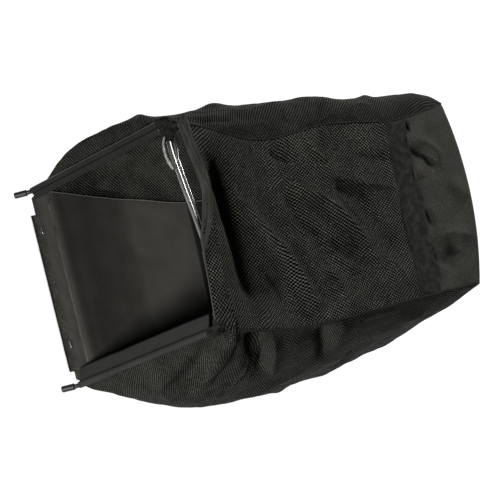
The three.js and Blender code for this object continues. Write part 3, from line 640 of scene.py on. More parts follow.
def scaled(colour, share):
    return tuple(c * share for c in colour)


def plated_steel(name, scratches=1.0, feet=0.0, bright=1.0):
    """Bright zinc plate: drawn lengthwise, a little clouded, with dull patches, and darker and rougher near
    the floor by the feet share.
    """
    finish = Finish(name, (0.2, 0.2, 0.195), 0.25, Metallic=1.0)
    place = finish.place()
    clouds = finish.cloud(place, 0.012)
    grain = finish.cloud(finish.stretched(place, (12, 1.5, 12)), 0.03, 1)
    dull = grain.step(0.55, 0.7) * clouds.step(0.4, 0.65)
    # Darker and rougher below about 4 to 7 cm up, by the feet share.
    near_floor = 1 - finish.part(place, 2).step(0.04, 0.07)
    plate = finish.mix(dull * 0.8, scaled((0.2, 0.2, 0.194), bright), (0.08, 0.078, 0.072))
    roughness = 0.22 + clouds * 0.08 + grain * 0.08 * scratches + dull * 0.25 + near_floor * 0.4 * feet
    return finish.look(finish.mix(near_floor * feet, plate, (0.02, 0.019, 0.017)), roughness, grain, 0.00004)


def vinyl(name, colour, roughness, grain, gloss):
    """Smooth black vinyl: a faint skin grain, soft clouds and a little dust."""
    finish = Finish(name, colour, roughness, Specular_IOR_Level=gloss)
    place = finish.place()
    clouds = finish.cloud(place, 0.05)
    skin = finish.cloud(place, 0.0011)
    dents = finish.cloud(place, 0.007, 2)
    motes = finish.cloud(place, 0.0016, 1).step(0.66, 0.74) * finish.cloud(place, 0.03).step(0.45, 0.7)
    lighter = tuple(c * 1.2 + 0.0006 for c in colour)
    worn = finish.mix(clouds.step(0.3, 0.72), colour, lighter)
    dusty = finish.mix(motes * 0.1, worn, (0.07, 0.066, 0.058))
    dull = roughness - 0.05 + clouds * 0.12 + motes * 0.2 + skin * 0.06
    return finish.look(dusty, dull, skin * grain + dents * 0.8, 0.00022)


def grained_vinyl(name, slant=2 * LIP_RACK / LIP_WIDTH):
    """The lip's margin: vinyl pressed with a pebbled grain whose tops are rubbed pale along the front."""
    finish = Finish(name, (0.024, 0.023, 0.021), 0.5, Specular_IOR_Level=0.1)
    place = finish.place()
    cells = finish.node("ShaderNodeTexVoronoi", {"feature": "F1"}, {"Vector": place, "Scale": 420.0})
    fine = finish.cloud(place, 0.0012)
    clouds = finish.cloud(place, 0.02)
    tops = (1 - cells).step(0.45, 0.85) * fine.step(0.42, 0.62)
    front = 1 - (finish.part(place, 0) + finish.part(place, 1) * slant).step(0.002, 0.012)
    rubbed = tops * clouds.step(0.35, 0.62) * front
    skin = finish.mix(front, (0.028, 0.0268, 0.0236), (0.0175, 0.0168, 0.015))
    grain = ((1 - cells) + fine * 0.5) * (front * 0.8 + 0.2)
    return finish.look(finish.mix(rubbed, skin, (0.11, 0.105, 0.093)), 0.62 - rubbed * 0.18, grain, 0.0004)


CLOTH_GLOSS, NET_ROUGHNESS = 0.012, 0.55


def net_cloth(name, pitch, rows, hole, thread, crest, gap, relief, hatch=0.0, inner=None):
    """Knitted net: staggered holes in black yarn, with the yarn's own twist between them.
    Its crowns are painted lighter, as painted sheen of the glossy yarn, and its holes near-black, as painted
    shade.

    pitch and rows are the distances between holes along and across the cloth; hole is a hole's radius; hatch
    is how far the slanting rows of stitches stand out; inner is the crests' colour on the cloth's inner side,
    painted lighter than the outer crests, as painted light on that side.
    """
    finish = Finish(name, thread, NET_ROUGHNESS, Specular_IOR_Level=CLOTH_GLOSS)
    both, along, across = finish.cloth_place()
    along = along + (finish.cloud(both, 0.03, 2) - 0.5) * pitch * 0.3
    gaps = []
    for shift in (0.0, 0.5):
        a = ((along / pitch + shift).math("FRACT") - 0.5) * pitch
        b = ((across / rows + shift).math("FRACT") - 0.5) * rows
        gaps.append(a * a + b * b)
    away = gaps[0].math("MINIMUM", gaps[1]).math("SQRT")
    # The holes are painted near-black with the gap colour: painted shade of the dark inside seen through
    # them.
    hole_shade_share = 1 - away.step(hole * 0.7, hole * 1.2)
    slant = pitch * rows / math.hypot(pitch, rows)
    diagonal = (along / pitch - across / rows).wave(1.0)
    twist = (along + across).wave(slant * 0.31) * 0.5 + (along - across).wave(slant * 0.27) * 0.5
    mottle = finish.cloud(both, 0.004, 2)
    clouds = finish.cloud(both, 0.06)
    lint = finish.cloud(both, 0.0024, 1).step(0.68, 0.76) * finish.cloud(both, 0.05).step(0.5, 0.75)
    crown = away.step(hole * 0.8, hole * 2.0) * (1 - hatch) + diagonal * hatch
    # The lit share paints the crowns lighter than the black yarn, with its twist and mottle: painted sheen.
    lit = crown * (0.35 + twist * 0.3 + mottle.step(0.35, 0.65) * 0.5)
    # On the inner side the crowns take the lighter inner colour: painted light.
    tops = finish.mix(along.step(INNER_MAP * 0.5, INNER_MAP * 0.51), crest, inner) if inner else crest
    dusty = finish.used(finish.mix(lit, thread, tops), clouds, 0.45, scaled(thread, 0.5), lint, crest)
    roughness = NET_ROUGHNESS + hole_shade_share * 0.3 - twist * 0.08
    return finish.look(finish.mix(hole_shade_share, dusty, gap), roughness, crown + twist * 0.15, relief)


def ribbed_cloth(name, thread, crest, pitch, roughness, fuzz=0.3, angle=0.0, streak=(6, 0.5, 1)):
    """Close plain weave with a rib across it and a fine thread along it."""
    finish = Finish(name, thread, roughness, Specular_IOR_Level=CLOTH_GLOSS)
    both, along, across = finish.cloth_place()
    turned = swung(along, across, angle)
    crossing = across * math.cos(angle) - along * math.sin(angle)
    wander = (finish.cloud(both, 0.012, 2) - 0.5) * pitch * 0.9
    over = (turned + wander).wave(pitch) * 0.65 + crossing.wave(pitch * 0.62) * 0.35
    clouds = finish.cloud(both, 0.05)
    streaks = finish.cloud(finish.stretched(both, streak), 0.02)
    lint = finish.cloud(both, 0.002, 1).step(0.68, 0.75) * clouds.step(0.5, 0.7)
    woven = finish.mix(over * 0.75 + streaks.step(0.4, 0.65) * 0.45 * fuzz, thread, crest)
    colour = finish.used(woven, clouds, 0.35, scaled(thread, 0.6), lint, crest)
    return finish.look(colour, roughness - over * 0.12 + clouds * 0.08, over + streaks * fuzz, pitch * 0.16)


def webbing(name, thread, pitch, fleck=0.0):
    """Narrow webbing or piping: short ribs over Object space, with pale flecks where fleck is set, painted
    glints of the web's sheen.
    """
    finish = Finish(name, thread, 0.62, Specular_IOR_Level=0.05)
    place = finish.place()
    x, y, z = (finish.part(place, number) for number in range(3))
    ribs = (x + y + z).wave(pitch) * 0.5 + (x - y + z * 0.5).wave(pitch * 1.1) * 0.5
    fine = finish.cloud(place, 0.0009, 2)
    woven = finish.mix(ribs * 0.6 + fine * 0.3, thread, scaled(thread, 2.2))
    painted_glints = fine.step(0.5, 0.6) * ribs.step(0.4, 0.7) * fleck
    colour = finish.mix(painted_glints, woven, (0.42, 0.41, 0.38))
    return finish.look(colour, 0.66 - ribs * 0.14, ribs + fine * 0.6, 0.00035)


def floor_finish():
    """The pale studio floor, lit a little from below."""
    glow = {"Emission_Color": (1, 1, 1, 1), "Emission_Strength": 0.88}
    finish = Finish("studio_floor", (0.09, 0.09, 0.09), 0.8, **glow)
    clouds = finish.cloud(finish.place(), 0.6, 2)
    clouded = finish.mix(clouds * 0.3, (0.095, 0.095, 0.095), (0.085, 0.085, 0.085))
    finish.fill(finish.shader, {"Base Color": clouded})
    return finish.material


DARK_YARN, BLACK_YARN = (0.001, 0.001, 0.0009), (0.0003, 0.0003, 0.0002)

steel = plated_steel("hoop_zinc_plate", feet=0.95)
strip_steel = plated_steel("lip_strip_zinc_plate", scratches=2.0, bright=3.8)
staple_steel = plated_steel("staple_wire", scratches=0.3, bright=4.2)
binding_vinyl = vinyl("binding_black_vinyl", (0.003, 0.003, 0.0028), roughness=0.26, grain=0.35, gloss=0.07)
# The right binding is the same black vinyl as the left, painted a lighter grey: a lit copy, painted light.
right_binding_lit_vinyl = vinyl("right_binding_vinyl_painted_lighter", (0.0078, 0.0079, 0.0075), roughness=0.55, grain=0.5,
                           gloss=0.05)
cap_vinyl = vinyl("cap_black_vinyl", (0.003, 0.003, 0.003), roughness=0.45, grain=0.3, gloss=0.2)
floor_vinyl = vinyl("floor_brown_grey_vinyl", (0.0275, 0.0265, 0.0233), roughness=0.75, grain=0.5, gloss=0.06)
margin_vinyl = grained_vinyl("hem_grained_vinyl")
# In both nets, gap paints shade into the holes, and crest paints the yarn's sheen on its crowns.
top_net = net_cloth("top_coarse_net", pitch=0.0064, rows=0.0060, hole=0.0018, thread=(0.0015, 0.0015, 0.0013),
                    crest=(0.175, 0.173, 0.148), gap=(0.0001, 0.0001, 0.0001), relief=0.0018)
# The side net's inner crests are painted lighter than its outer ones: painted light on the inner side.
side_net = net_cloth("side_fine_net", pitch=0.0056, rows=0.0056, hole=0.0011, thread=BLACK_YARN,
                     crest=(0.041, 0.0405, 0.0346), gap=(0.0002, 0.0002, 0.0002), relief=0.0012, hatch=0.9,
                     inner=(0.07, 0.0692, 0.0595))
rear_weave = ribbed_cloth("rear_close_weave", DARK_YARN, (0.031, 0.0306, 0.026), pitch=0.0024, roughness=0.55,
                          fuzz=1.0, streak=(7, 7, 1))
base_weave = ribbed_cloth("base_close_weave", (0.003, 0.003, 0.0027), (0.02, 0.02, 0.018), pitch=0.0024,
                          roughness=0.6, angle=0.8)
band_tape = ribbed_cloth("band_dull_tape", BLACK_YARN, (0.016, 0.0158, 0.0135), pitch=0.0024, roughness=0.62,
                         fuzz=1.2, angle=0.4, streak=(1.6, 1.6, 1))
hem_weave = ribbed_cloth("hem_rolled_weave", DARK_YARN, (0.037, 0.0366, 0.032), pitch=0.0021, roughness=0.5,
                         fuzz=1.0, angle=math.pi / 2, streak=(0.4, 9, 1))
fold_weave = ribbed_cloth("corner_fold_weave", DARK_YARN, (0.014, 0.0139, 0.0117), pitch=0.0021,
                          roughness=0.5)
seam_cord = webbing("seam_piping", (0.0022, 0.0022, 0.002), 0.0018)
edge_highlight_cord = webbing("hem_edge_piping_painted_highlight", (0.018, 0.0178, 0.0155), 0.0016)
inner_tape = webbing("floor_seam_tape", (0.034, 0.0336, 0.029), 0.0024)
# The strap's pale flecks are painted glints of its sheen.
strap_web = webbing("strap_flecked_web", (0.04, 0.0395, 0.035), 0.003, 0.8)
thread_black = webbing("stitch_thread", (0.008, 0.008, 0.0072), 0.0006)


# ---- the folds that the cloth keeps

SHARP, SOFT = 1.15, 1.7  # How round a fold is: the power by which its height falls off sideways

TOP_FOLDS = [
    fold(7, 6, SHARP, 126, 251, 171, 335, 210, 425, 252, 529, 283, 615, 321, 766, 341, 890, 350, 990),
    fold(8, 8, SHARP, 370, 184, 318, 236, 272, 285, 198, 375),
    fold(6.5, 6, SHARP, 393, 299, 454, 365, 503, 431, 548, 531, 580, 621, 601, 719),
    fold(7, 7, SHARP, 524, 279, 586, 307, 648, 339, 758, 373),
    fold(9, 9, SHARP, 756, 389, 715, 463, 673, 531, 620, 615),
    fold(-5, 10, SOFT, 450, 580, 485, 645, 557, 739),
    fold(7, 8, SHARP, 440, 40, 470, 130, 520, 200),
    fold(-8, 10, SOFT, 300, 30, 330, 100, 400, 160),
    fold(5, 9, SHARP, 660, 750, 700, 840, 730, 930),
    fold(-6, 8, SOFT, 200, 620, 230, 750, 250, 900),
    fold(5, 7, SHARP, 420, 720, 460, 820, 470, 920),
    fold(-6, 10, SOFT, 600, 160, 680, 200, 760, 220),
    fold(4, 6, SHARP, 300, 420, 360, 500, 400, 580),
]
REAR_TOP_FOLDS = [
    fold(12, 12, SOFT, 828, 125, 870, 165, 905, 225, 925, 300),
    fold(-10, 12, SOFT, 828, 185, 868, 210, 890, 255, 900, 340),
    fold(7, 11, SOFT, 835, 280, 840, 360),
    fold(-7, 12, SOFT, 825, 530, 845, 600, 860, 650),
    fold(12, 13, SOFT, 826, 700, 880, 695, 950, 730, 985, 750),
    fold(-13, 15, SOFT, 945, 765, 900, 810, 866, 880),
    fold(-8, 10, SOFT, 826, 50, 850, 60),
    fold(-5, 9, SOFT, 835, 760, 835, 950),
    fold(7, 14, SOFT, 930, 420, 965, 500, 985, 550),
]
RIGHT_FOLDS = [
    fold(12, 6, SHARP, 118, 560, 112, 505, 118, 439, 107, 383, 85, 293, 64, 198, 51, 102, 46, 20),
    fold(6, 4, SHARP, 20, 60, 30, 100, 51, 102),
    fold(-6, 6, SOFT, 72, 20, 80, 120, 100, 210),
    fold(-22, 16, SOFT, 120, 0, 156, 124, 198, 198, 260, 290),
    fold(14, 9, SHARP, 172, 0, 200, 88, 250, 214, 310, 310),
    fold(17, 8, SHARP, 133, 154, 177, 238, 179, 295, 190, 369, 216, 487),
    fold(-7, 12, SOFT, 20, 128, 28, 240, 71, 387, 81, 503),
    fold(6, 7, SHARP, 210, 333, 247, 275, 282, 253),
    fold(5, 12, SOFT, 246, 118, 295, 84, 360, 72),
    fold(-16, 12, SOFT, 352, 0, 385, 90, 430, 190, 486, 291),
    fold(11, 8, SHARP, 396, 0, 437, 44, 444, 122, 465, 210),
    fold(7, 8, SHARP, 491, 100, 524, 30, 604, 30, 660, 50),
    fold(6, 12, SOFT, 707, 142, 756, 142, 804, 142),
    fold(-10, 10, SOFT, 625, 470, 611, 371, 594, 260),
    fold(7, 11, SOFT, 50, 400, 60, 470, 90, 620),
    fold(8, 12, SOFT, 300, 500, 340, 420, 420, 360),
    fold(7, 16, SOFT, 500, 620, 560, 700, 660, 760),
    fold(-7, 16, SOFT, 250, 800, 320, 700, 450, 660),
]
LEFT_FOLDS = [
    fold(8, 10, SHARP, 140, 20, 203, 55, 267, 75, 330, 60),
    fold(-9, 11, SOFT, 100, 100, 160, 130, 240, 140),
    fold(-7, 12, SOFT, 364, 100, 396, 50, 420, 10),
    fold(6, 11, SHARP, 300, 160, 360, 190, 450, 200),
    fold(-7, 9, SOFT, 500, 20, 520, 90, 560, 150),
    fold(6, 9, SHARP, 600, 40, 660, 100, 740, 110),
    fold(8, 16, SOFT, 200, 320, 300, 360, 420, 460, 500, 600),
    fold(-8, 17, SOFT, 550, 300, 620, 380, 700, 500),
    fold(7, 15, SOFT, 750, 200, 800, 350, 820, 500),
    fold(-8, 15, SOFT, 100, 620, 200, 700, 340, 780),
    fold(7, 12, SOFT, 30, 250, 70, 320, 120, 450),
    fold(7, 16, SOFT, 850, 550, 780, 700, 660, 820),
]
REAR_FOLDS = [
    fold(6, 14, SOFT, 880, 200, 920, 260, 970, 240),
    fold(-6, 16, SOFT, 870, 600, 910, 500, 960, 520),
    fold(6, 15, SOFT, 870, 850, 930, 800, 980, 840),
    fold(-4, 11, SOFT, 900, 60, 940, 120, 985, 100),
    fold(4, 12, SOFT, 885, 400, 950, 370, 985, 420),
]


LONG_WAVE, SHORT_WAVE = 0.075, 0.028


def folded(shape, s, t, folds, outward, waves, seed, s_ends, keep=0.04):
    """A wall of the bag with its folds, flat where it is sewn."""
    wall = shape(s, t)
    height = folds_on(wall, shape, folds) + ripples(wall, LONG_WAVE, waves, seed)
    height += ripples(wall, SHORT_WAVE, waves * 0.3, seed + 1)
    return wall + facing(wall, outward) * (height * off_edges(s, t, s_ends, keep))[..., None]


# ---- cloth walls

SIDES = ((LEFT, "left"), (RIGHT, "right"))
CLOTH_THICK, BAND_THICK, FLOOR_THICK, MARGIN_THICK = 0.0012, 0.0013, 0.0018, 0.0016
BINDING_THICK, STRAP_THICK, SLEEVE_THICK = 0.0009, 0.0015, 0.0010
SEAM_END = 0.9985
REARWARD = (1, 0, 0)


def panel(name, wall, finish, nodes, thick=CLOTH_THICK):
    """A dressed sheet of cloth or vinyl."""
    return dress(cloth_piece(name, wall, thick), finish, nodes)


s, t = grid(0.043, BAND_START + 0.004, rows=170, columns=150)
top_flat = folded(top_wall, s, t, TOP_FOLDS, UP, waves=0.0032, seed=1, s_ends=(0.0, BAND_START + 0.02))
top_cloth = panel("top_net_cloth", top_flat, top_net, ["top_mesh_panel"])

s, t = grid(BAND_START - 0.002, BAND_END + 0.002, rows=24, columns=150)
band_wall = folded(top_wall, s, t, [], UP, waves=0.0012, seed=4, s_ends=(BAND_START - 0.1, BAND_END + 0.1))
band_wall[..., 2] += 0.0012 * off_edges(s, t, (-1, 2), 0.02)
band = panel("rear_band_tape", band_wall, band_tape, ["rear_band"], BAND_THICK)

# The rear of the top and its edge tape are one cloth, turned down over a soft edge
s, t = grid(BAND_END - 0.006, 0.998, rows=58, columns=150)
flat_part = folded(top_wall, s, t, REAR_TOP_FOLDS, UP, waves=0.0022, seed=7, s_ends=(BAND_END - 0.03, 1.05))
u, t = grid(0.06, 0.98, rows=14, columns=150)
rear_top_wall = np.concatenate([flat_part, rear_tape_wall(u, t)])
soft_from, soft_to = 44, len(rear_top_wall) - 3  # The rows on both sides of the turn
for _ in range(10):
    before, after = rear_top_wall[soft_from - 1:soft_to - 1], rear_top_wall[soft_from + 1:soft_to + 1]
    rear_top_wall[soft_from:soft_to] = 0.5 * rear_top_wall[soft_from:soft_to] + 0.25 * (before + after)
nodes = ["rear_top_panel", "rear_edge_tape"]
rear_top = panel("rear_top_cloth", rear_top_wall, rear_weave, nodes)

side_walls = {}
side_start = FRONT * 0.84
for (side, name), folds in zip(SIDES, (LEFT_FOLDS, RIGHT_FOLDS)):
    s, t = grid(0, 1, rows=190, columns=120, margin=0.003)
    s = side_start + (0.998 - side_start) * (0.75 * s + 0.25 * s * s)
    shape = lambda s, t, side=side: side_wall(side, s, t)
    wall = folded(shape, s, t, folds, (0, side, 0), waves=0.0042, seed=10 + side, s_ends=(0, 1), keep=0.05)
    side_walls[side] = wall
    nodes = [f"side_wall_{name}_{half}_{end}" for half in ("upper", "lower") for end in ("front", "rear")]
    piece = panel(f"side_cloth_{name}", wall, side_net, nodes)
    # The left wall's inner side, seen through the mouth, takes the side net's lighter inner crests: painted
    # light.
    if side is LEFT:
        turn_map(piece, (0, 1, 0))

s, t = grid(LIP_HEM_END - 0.010, FLOOR_END, rows=94, columns=90, margin=0.001)
floor_wall = folded(base_wall, s, t, [], UP, waves=0.0009, seed=21, s_ends=(0, FLOOR_END), keep=0.05)
floor_sheet = panel("floor_vinyl_sheet", floor_wall, floor_vinyl, ["floor_panel"], FLOOR_THICK)

s, t = grid(FLOOR_END - 0.004, REAR_PANEL + 0.003, rows=90, columns=80)
base_flat = folded(base_wall, s, t, [], -UP, waves=0.0008, seed=25, s_ends=(FLOOR_END, REAR_PANEL), keep=0.05)
base_flat[..., 2] += 0.0016 * (1 - smooth(s, FLOOR_END, FLOOR_END + 0.03))
base_cloth = panel("base_cloth", base_flat, base_weave, ["base_panel"])

s, t = grid(REAR_PANEL, SEAM_END, rows=90, columns=90)
rear_wall = folded(base_wall, s, t, REAR_FOLDS, REARWARD, waves=0.0035, seed=31,
                   s_ends=(REAR_PANEL - 0.01, 1.01), keep=0.03)
rear_cloth = panel("rear_cloth", rear_wall, rear_weave, ["rear_panel"])


# ---- seams

def seam_piece(name, edge, side, start, node, radius=0.0019):
    """A piped seam that wanders a little, as sewn cord does."""
    line = edge(side, np.linspace(start, SEAM_END, 130))
    way = np.gradient(line, axis=0)
    way /= np.linalg.norm(way, axis=1, keepdims=True)
    beside = np.cross(way, UP)
    spots = [Vector(place) / 0.02 for place in line]
    wander = np.array([[noise.noise(spot), noise.noise(spot + Vector((9, 9, 9)))] for spot in spots])
    line = line + beside * wander[:, :1] * 0.0007
    line[:, 2] += wander[:, 1] * 0.0006
    dress(bent_rod(name, line, radius, 3), seam_cord, [node])


for seam, edge, start in (("top", top_edge, 0.055), ("base", base_seam, 0.075)):
    for side, name in SIDES:
        seam_piece(f"{seam}_seam_cord_{name}", edge, side, start, f"{seam}_seam_{name}")

TAPE_R, TAPE_IN, TAPE_UP = 0.0013, 0.0012, 0.0026

# A narrow tape over the seam inside, between the floor and each side wall
for side, name in SIDES:
    line = base_edge(side, np.linspace(0.052, 0.6, 90)) + np.array([0, -side * TAPE_IN, TAPE_UP])
    line[:, 2] += [0.0007 * uneven(x / 0.012, side, 0) for x in line[:, 0]]
    tape = bent_rod(f"floor_seam_tape_{name}", line, TAPE_R, 3)
    dress(tape, inner_tape, [f"base_seam_{name}"])


def trim_stitches(name, line, up, slot="seam_tape", **sizes):
    return dress(stitch_row(name, line, up, **sizes), thread_black)


def straight_up(line):
    return np.repeat(UP[None], len(line), 0)


BAND_STITCH_LIFT, SEAM_STITCH_LIFT, MARGIN_STITCH_LIFT, BINDING_STITCH_LIFT = 0.0009, 0.0008, 0.0011, 0.0006

band_up = facing(band_wall, UP)
for k, row in enumerate((2, 4, -5, -3)):
    line = band_wall[row, 3:-3] + band_up[row, 3:-3] * BAND_STITCH_LIFT
    trim_stitches(f"band_stitches_{k + 1}", line, straight_up(line))

for side, name in SIDES:
    wall = side_walls[side]
    outwards = facing(wall, (0, side, 0))
    for seam, first_row, column in (("top", 8, 3), ("base", 14, -4)):
        up = outwards[first_row:-6, column]
        line = wall[first_row:-6, column] + up * SEAM_STITCH_LIFT
        trim_stitches(f"{seam}_seam_stitches_{name}", line, up)


# ---- hoop, loop and caps

BAR_DENT_LINE = [(0, -0.56), (0.12, -1), (0.3, -0.58), (0.48, 0), (0.62, 0.33), (0.8, 0.18), (1, 0)]
STUB_WAY = np.array([-math.cos(STUB_DROP), 0, -math.sin(STUB_DROP)])


def bar_spot(share):
    """A place on the hoop's top bar, from 0 at the left to 1 at the right."""
    y = BAR_WIDTH * (0.5 - np.asarray(share, float))
    return spot(MOUTH_X + BAR_DENT * through(BAR_DENT_LINE, share), y, MOUTH_Z)


def leg_foot(side):
    return np.array([-side * LIP_RACK, side * LIP_WIDTH / 2, LIP_Z])


def leg_head(side):
    return bar_spot(0.0 if side == LEFT else 1.0)


def stub_end(side):
    return leg_foot(side) + STUB_WAY * STUB_LENGTH


corners = [(stub_end(LEFT), 0), (leg_foot(LEFT), ROD_BEND), (leg_head(LEFT), ROD_BEND)]
corners += [(bar_spot(share), 0) for share in np.linspace(0.11, 0.9, 40)]
corners += [(leg_head(RIGHT), ROD_BEND), (leg_foot(RIGHT), ROD_BEND), (stub_end(RIGHT), 0)]
hoop = bent_rod("mouth_hoop_rod", rounded(corners), ROD_R, 6)
dress(hoop, steel, ["mouth_hoop"])

apart, rise = ROD_R + LOOP_R + GAP, LOOP_R - ROD_R
loop_z, back_x = MOUTH_Z - LOOP_DROP, REAR_X - LOOP_REAR_CLEAR


def loop_corners(side):
    """The loop's corners on one side, from the front: beside the bar, at the shoulder and at the rear."""
    beside = side * (BAR_WIDTH / 2 - LOOP_INSET)
    front = np.array([bar_spot(0.06 if side == LEFT else 0.94)[0] + apart + 0.004, beside, MOUTH_Z + rise])
    shoulder = np.array([MOUTH_X + 2 * LOOP_BEND + 0.004, beside, loop_z])
    rear = np.array([back_x + side * REAR_RACK, side * (REAR_WIDTH / 2 - LOOP_REAR_INSET), loop_z])
    return [(front, LOOP_BEND / 2), (shoulder, LOOP_BEND), (rear, LOOP_BEND)]


corners = [(np.array([back_x, GAP / 2, loop_z]), 0), *reversed(loop_corners(LEFT))]
corners += [(bar_spot(share) + np.array([apart, 0, rise]), 0) for share in np.linspace(0.2, 0.8, 32)]
corners += [*loop_corners(RIGHT), (np.array([back_x, -GAP / 2, loop_z]), 0)]
dress(bent_rod("support_loop_rod", rounded(corners), LOOP_R, 5), steel, ["support_loop"])


def turned_cap(name, side, node, sides=28):
    """A dipped vinyl cap: a sleeve with a soft rim and a rounded end."""
    inside, outside = ROD_R + GAP, ROD_R + GAP + CAP_WALL
    edge = CAP_FLOOR + GAP
    profile = [(0, 0.0001), (inside, 0.0001), (inside, -CAP_DEPTH + 0.0004), (inside + 0.0003, -CAP_DEPTH),
               (outside - 0.0002, -CAP_DEPTH), (outside + 0.0003, -CAP_DEPTH + 0.0008),
               (outside, -CAP_DEPTH + 0.0022), (outside, edge - 0.0022), (outside - 0.0004, edge - 0.0009),
               (outside - 0.0014, edge - 0.0002), (outside - 0.003, edge), (0, edge)]
    first, second = frame_along(STUB_WAY, UP)
    angles = [2 * math.pi * k / sides for k in range(sides)]
    spots = [stub_end(side) + STUB_WAY * along + swung(first, second, angle) * radius
             for radius, along in profile for angle in (angles if radius else [0])]
    last = len(spots) - 1
    faces = list(1 + grid_faces(len(profile) - 2, sides, True))
    for k in range(sides):
        faces.append((0, 1 + k, 1 + (k + 1) % sides))
        faces.append((last, last - sides + k, last - sides + (k + 1) % sides))
    dress(faced_out(new_piece(name, spots, faces)), cap_vinyl, [node], smooth_angle=50)


for side, name in SIDES:
    turned_cap(f"stub_cap_vinyl_{name}", side, f"stub_cap_{name}")


# ---- vinyl bindings on the legs

def flange_ply(radius, width, droop, shares, face):
    """One ply of a binding's flange, seen end on: it is pinched towards its sewn edge."""
    root, thick = radius + 0.0005, 0.55
    return [(root + (width - radius - 0.0005) * share,
             face * (0.0011 + 0.0012 * (1 - share) ** 3) * thick + droop * share) for share in shares]


def leg_binding(name, side, flange, finish, node, stations=120):
    """A strip of vinyl folded round the leg, its two plies sewn together along the flange."""
    foot, head = leg_foot(side), leg_head(side)
    way = unit(head - foot)
    inward = np.array([0, -side, 0.0])
    rearward = unit(np.cross(inward, way) * -side)
    x_axis, y_axis = frame_along(way, swung(inward, rearward, FLANGE_TURN))
    whole = np.linalg.norm(head - foot) - BINDING_FOOT - BINDING_HEAD
    angles = np.linspace(0.42, 2 * math.pi - 0.42, 26)
    rings = []
    for k in range(stations):
        along = BINDING_FOOT + whole * k / (stations - 1)
        sag = uneven(along / 0.05, side * 3.1, 0)
        fine = uneven(along / 0.014, side * 7.7, 4)
        radius = ROD_R + GAP + 0.0012 + 0.00035 * sag
        width = flange + BINDING_R + 0.0008 * sag
        droop = 0.0007 * sag + 0.0002 * fine
        bend = [(radius * math.cos(angle), radius * math.sin(angle)) for angle in angles]
        upper = flange_ply(radius, width, droop, np.linspace(1, 0, 8), 1)
        ring = upper + bend + flange_ply(radius, width, droop, np.linspace(0, 1, 8), -1)
        rings.append([foot + way * along + x_axis * x + y_axis * y for x, y in ring])
    wall = np.array(rings)
    piece = panel(name, wall, finish, [node], BINDING_THICK)
    upper_ply, lower_ply = wall[:, 2], wall[:, -3]
    is_upper = upper_ply[:, 2].mean() > lower_ply[:, 2].mean()
    line, lift = (upper_ply, y_axis) if is_upper else (lower_ply, -y_axis)
    up = np.repeat(lift[None], stations, 0)
    line = line + up * BINDING_STITCH_LIFT
    rows = trim_stitches(f"{name}_stitches", line, up, slot="black_vinyl", length=0.0034, gap=0.0018)


leg_binding("binding_vinyl_left", LEFT, LEFT_FLANGE, binding_vinyl, "leg_binding_left")
leg_binding("binding_vinyl_right", RIGHT, RIGHT_FLANGE, right_binding_lit_vinyl, "leg_binding_right")


# ---- lip bar, its margin and staples

LIP_LINE = leg_foot(LEFT) - leg_foot(RIGHT)
LIP_Y, LIP_LENGTH = unit(LIP_LINE), float(np.linalg.norm(LIP_LINE))
LIP_X = np.cross(LIP_Y, UP)
STRIP_LEFT, STRIP_RIGHT = LIP_BAR_LENGTH / 2 - LIP_BAR_SHIFT, -LIP_BAR_LENGTH / 2 - LIP_BAR_SHIFT


def lip_spot(x, y, z):
    """A place in the lip's own frame, which is racked with the hoop's feet."""
    return LIP_X * x + LIP_Y * y + np.array([0, 0, z])


def lip_strip():
    """A steel strip whose front edge is turned up: a plane drawn out, its edges rounded."""
    front = -LIP_BAR_REACH
    outline = [(front, 0), (front + LIP_BAR_DEPTH, 0), (front + LIP_BAR_DEPTH, LIP_BAR_THICK),
               (front + LIP_BAR_EDGE, LIP_BAR_THICK), (front + LIP_BAR_EDGE, LIP_BAR_THICK + LIP_BAR_UPTURN),
               (front, LIP_BAR_THICK + LIP_BAR_UPTURN)]
    rings = [[lip_spot(x, y, z) for x, z in outline] for y in np.linspace(STRIP_LEFT, STRIP_RIGHT, 30)]
    piece = loft("lip_steel_strip", rings)
    finish_with(piece, "BEVEL", width=0.00045, segments=2, limit_method="ANGLE")
    dress(piece, strip_steel, ["lip_bar"], smooth_angle=40)


lip_strip()


def margin_wall():
    """The vinyl margin laid flat: notched beside the strip's ends, and cut back at its corners."""
    front = -LIP_BAR_REACH + LIP_BAR_EDGE + GAP
    notch, corner = front + NOTCH_DEPTH, float(leg_foot(RIGHT)[0]) + ROD_R
    half_length = LIP_LENGTH / 2 - ROD_R - 2 * GAP

    def front_at(y):
        if STRIP_RIGHT <= y <= STRIP_LEFT:
            return front
        return notch + corner * max(0.0, 1 - (half_length - abs(y)) / (corner / 2))

    steps = [STRIP_RIGHT - 0.0004, STRIP_RIGHT, STRIP_LEFT, STRIP_LEFT + 0.0004]
    ys = np.unique(np.concatenate([np.linspace(-half_length, half_length, 150), steps]))
    rows = [[lip_spot(x, y, LIP_Z) for x in np.linspace(front_at(y), LIP_HEM_DEPTH + 0.001, 26)] for y in ys]
    return np.array(rows).transpose(1, 0, 2)


wall = margin_wall()
lift = ripples(wall, 0.03, 0.0006, 41) + ripples(wall, 0.008, 0.00025, 43)
lift -= 0.0006 * smooth(wall[..., 0], 0.02, 0.034)
wall = wall + lift[..., None] * UP
margin = panel("lip_margin_vinyl", wall, margin_vinyl, ["lip_hem"], MARGIN_THICK)
line = wall[21, 4:-4] + np.array([0, 0, MARGIN_STITCH_LIFT])
margin_stitches = trim_stitches("lip_margin_stitches", line, straight_up(line), slot="hem_vinyl")


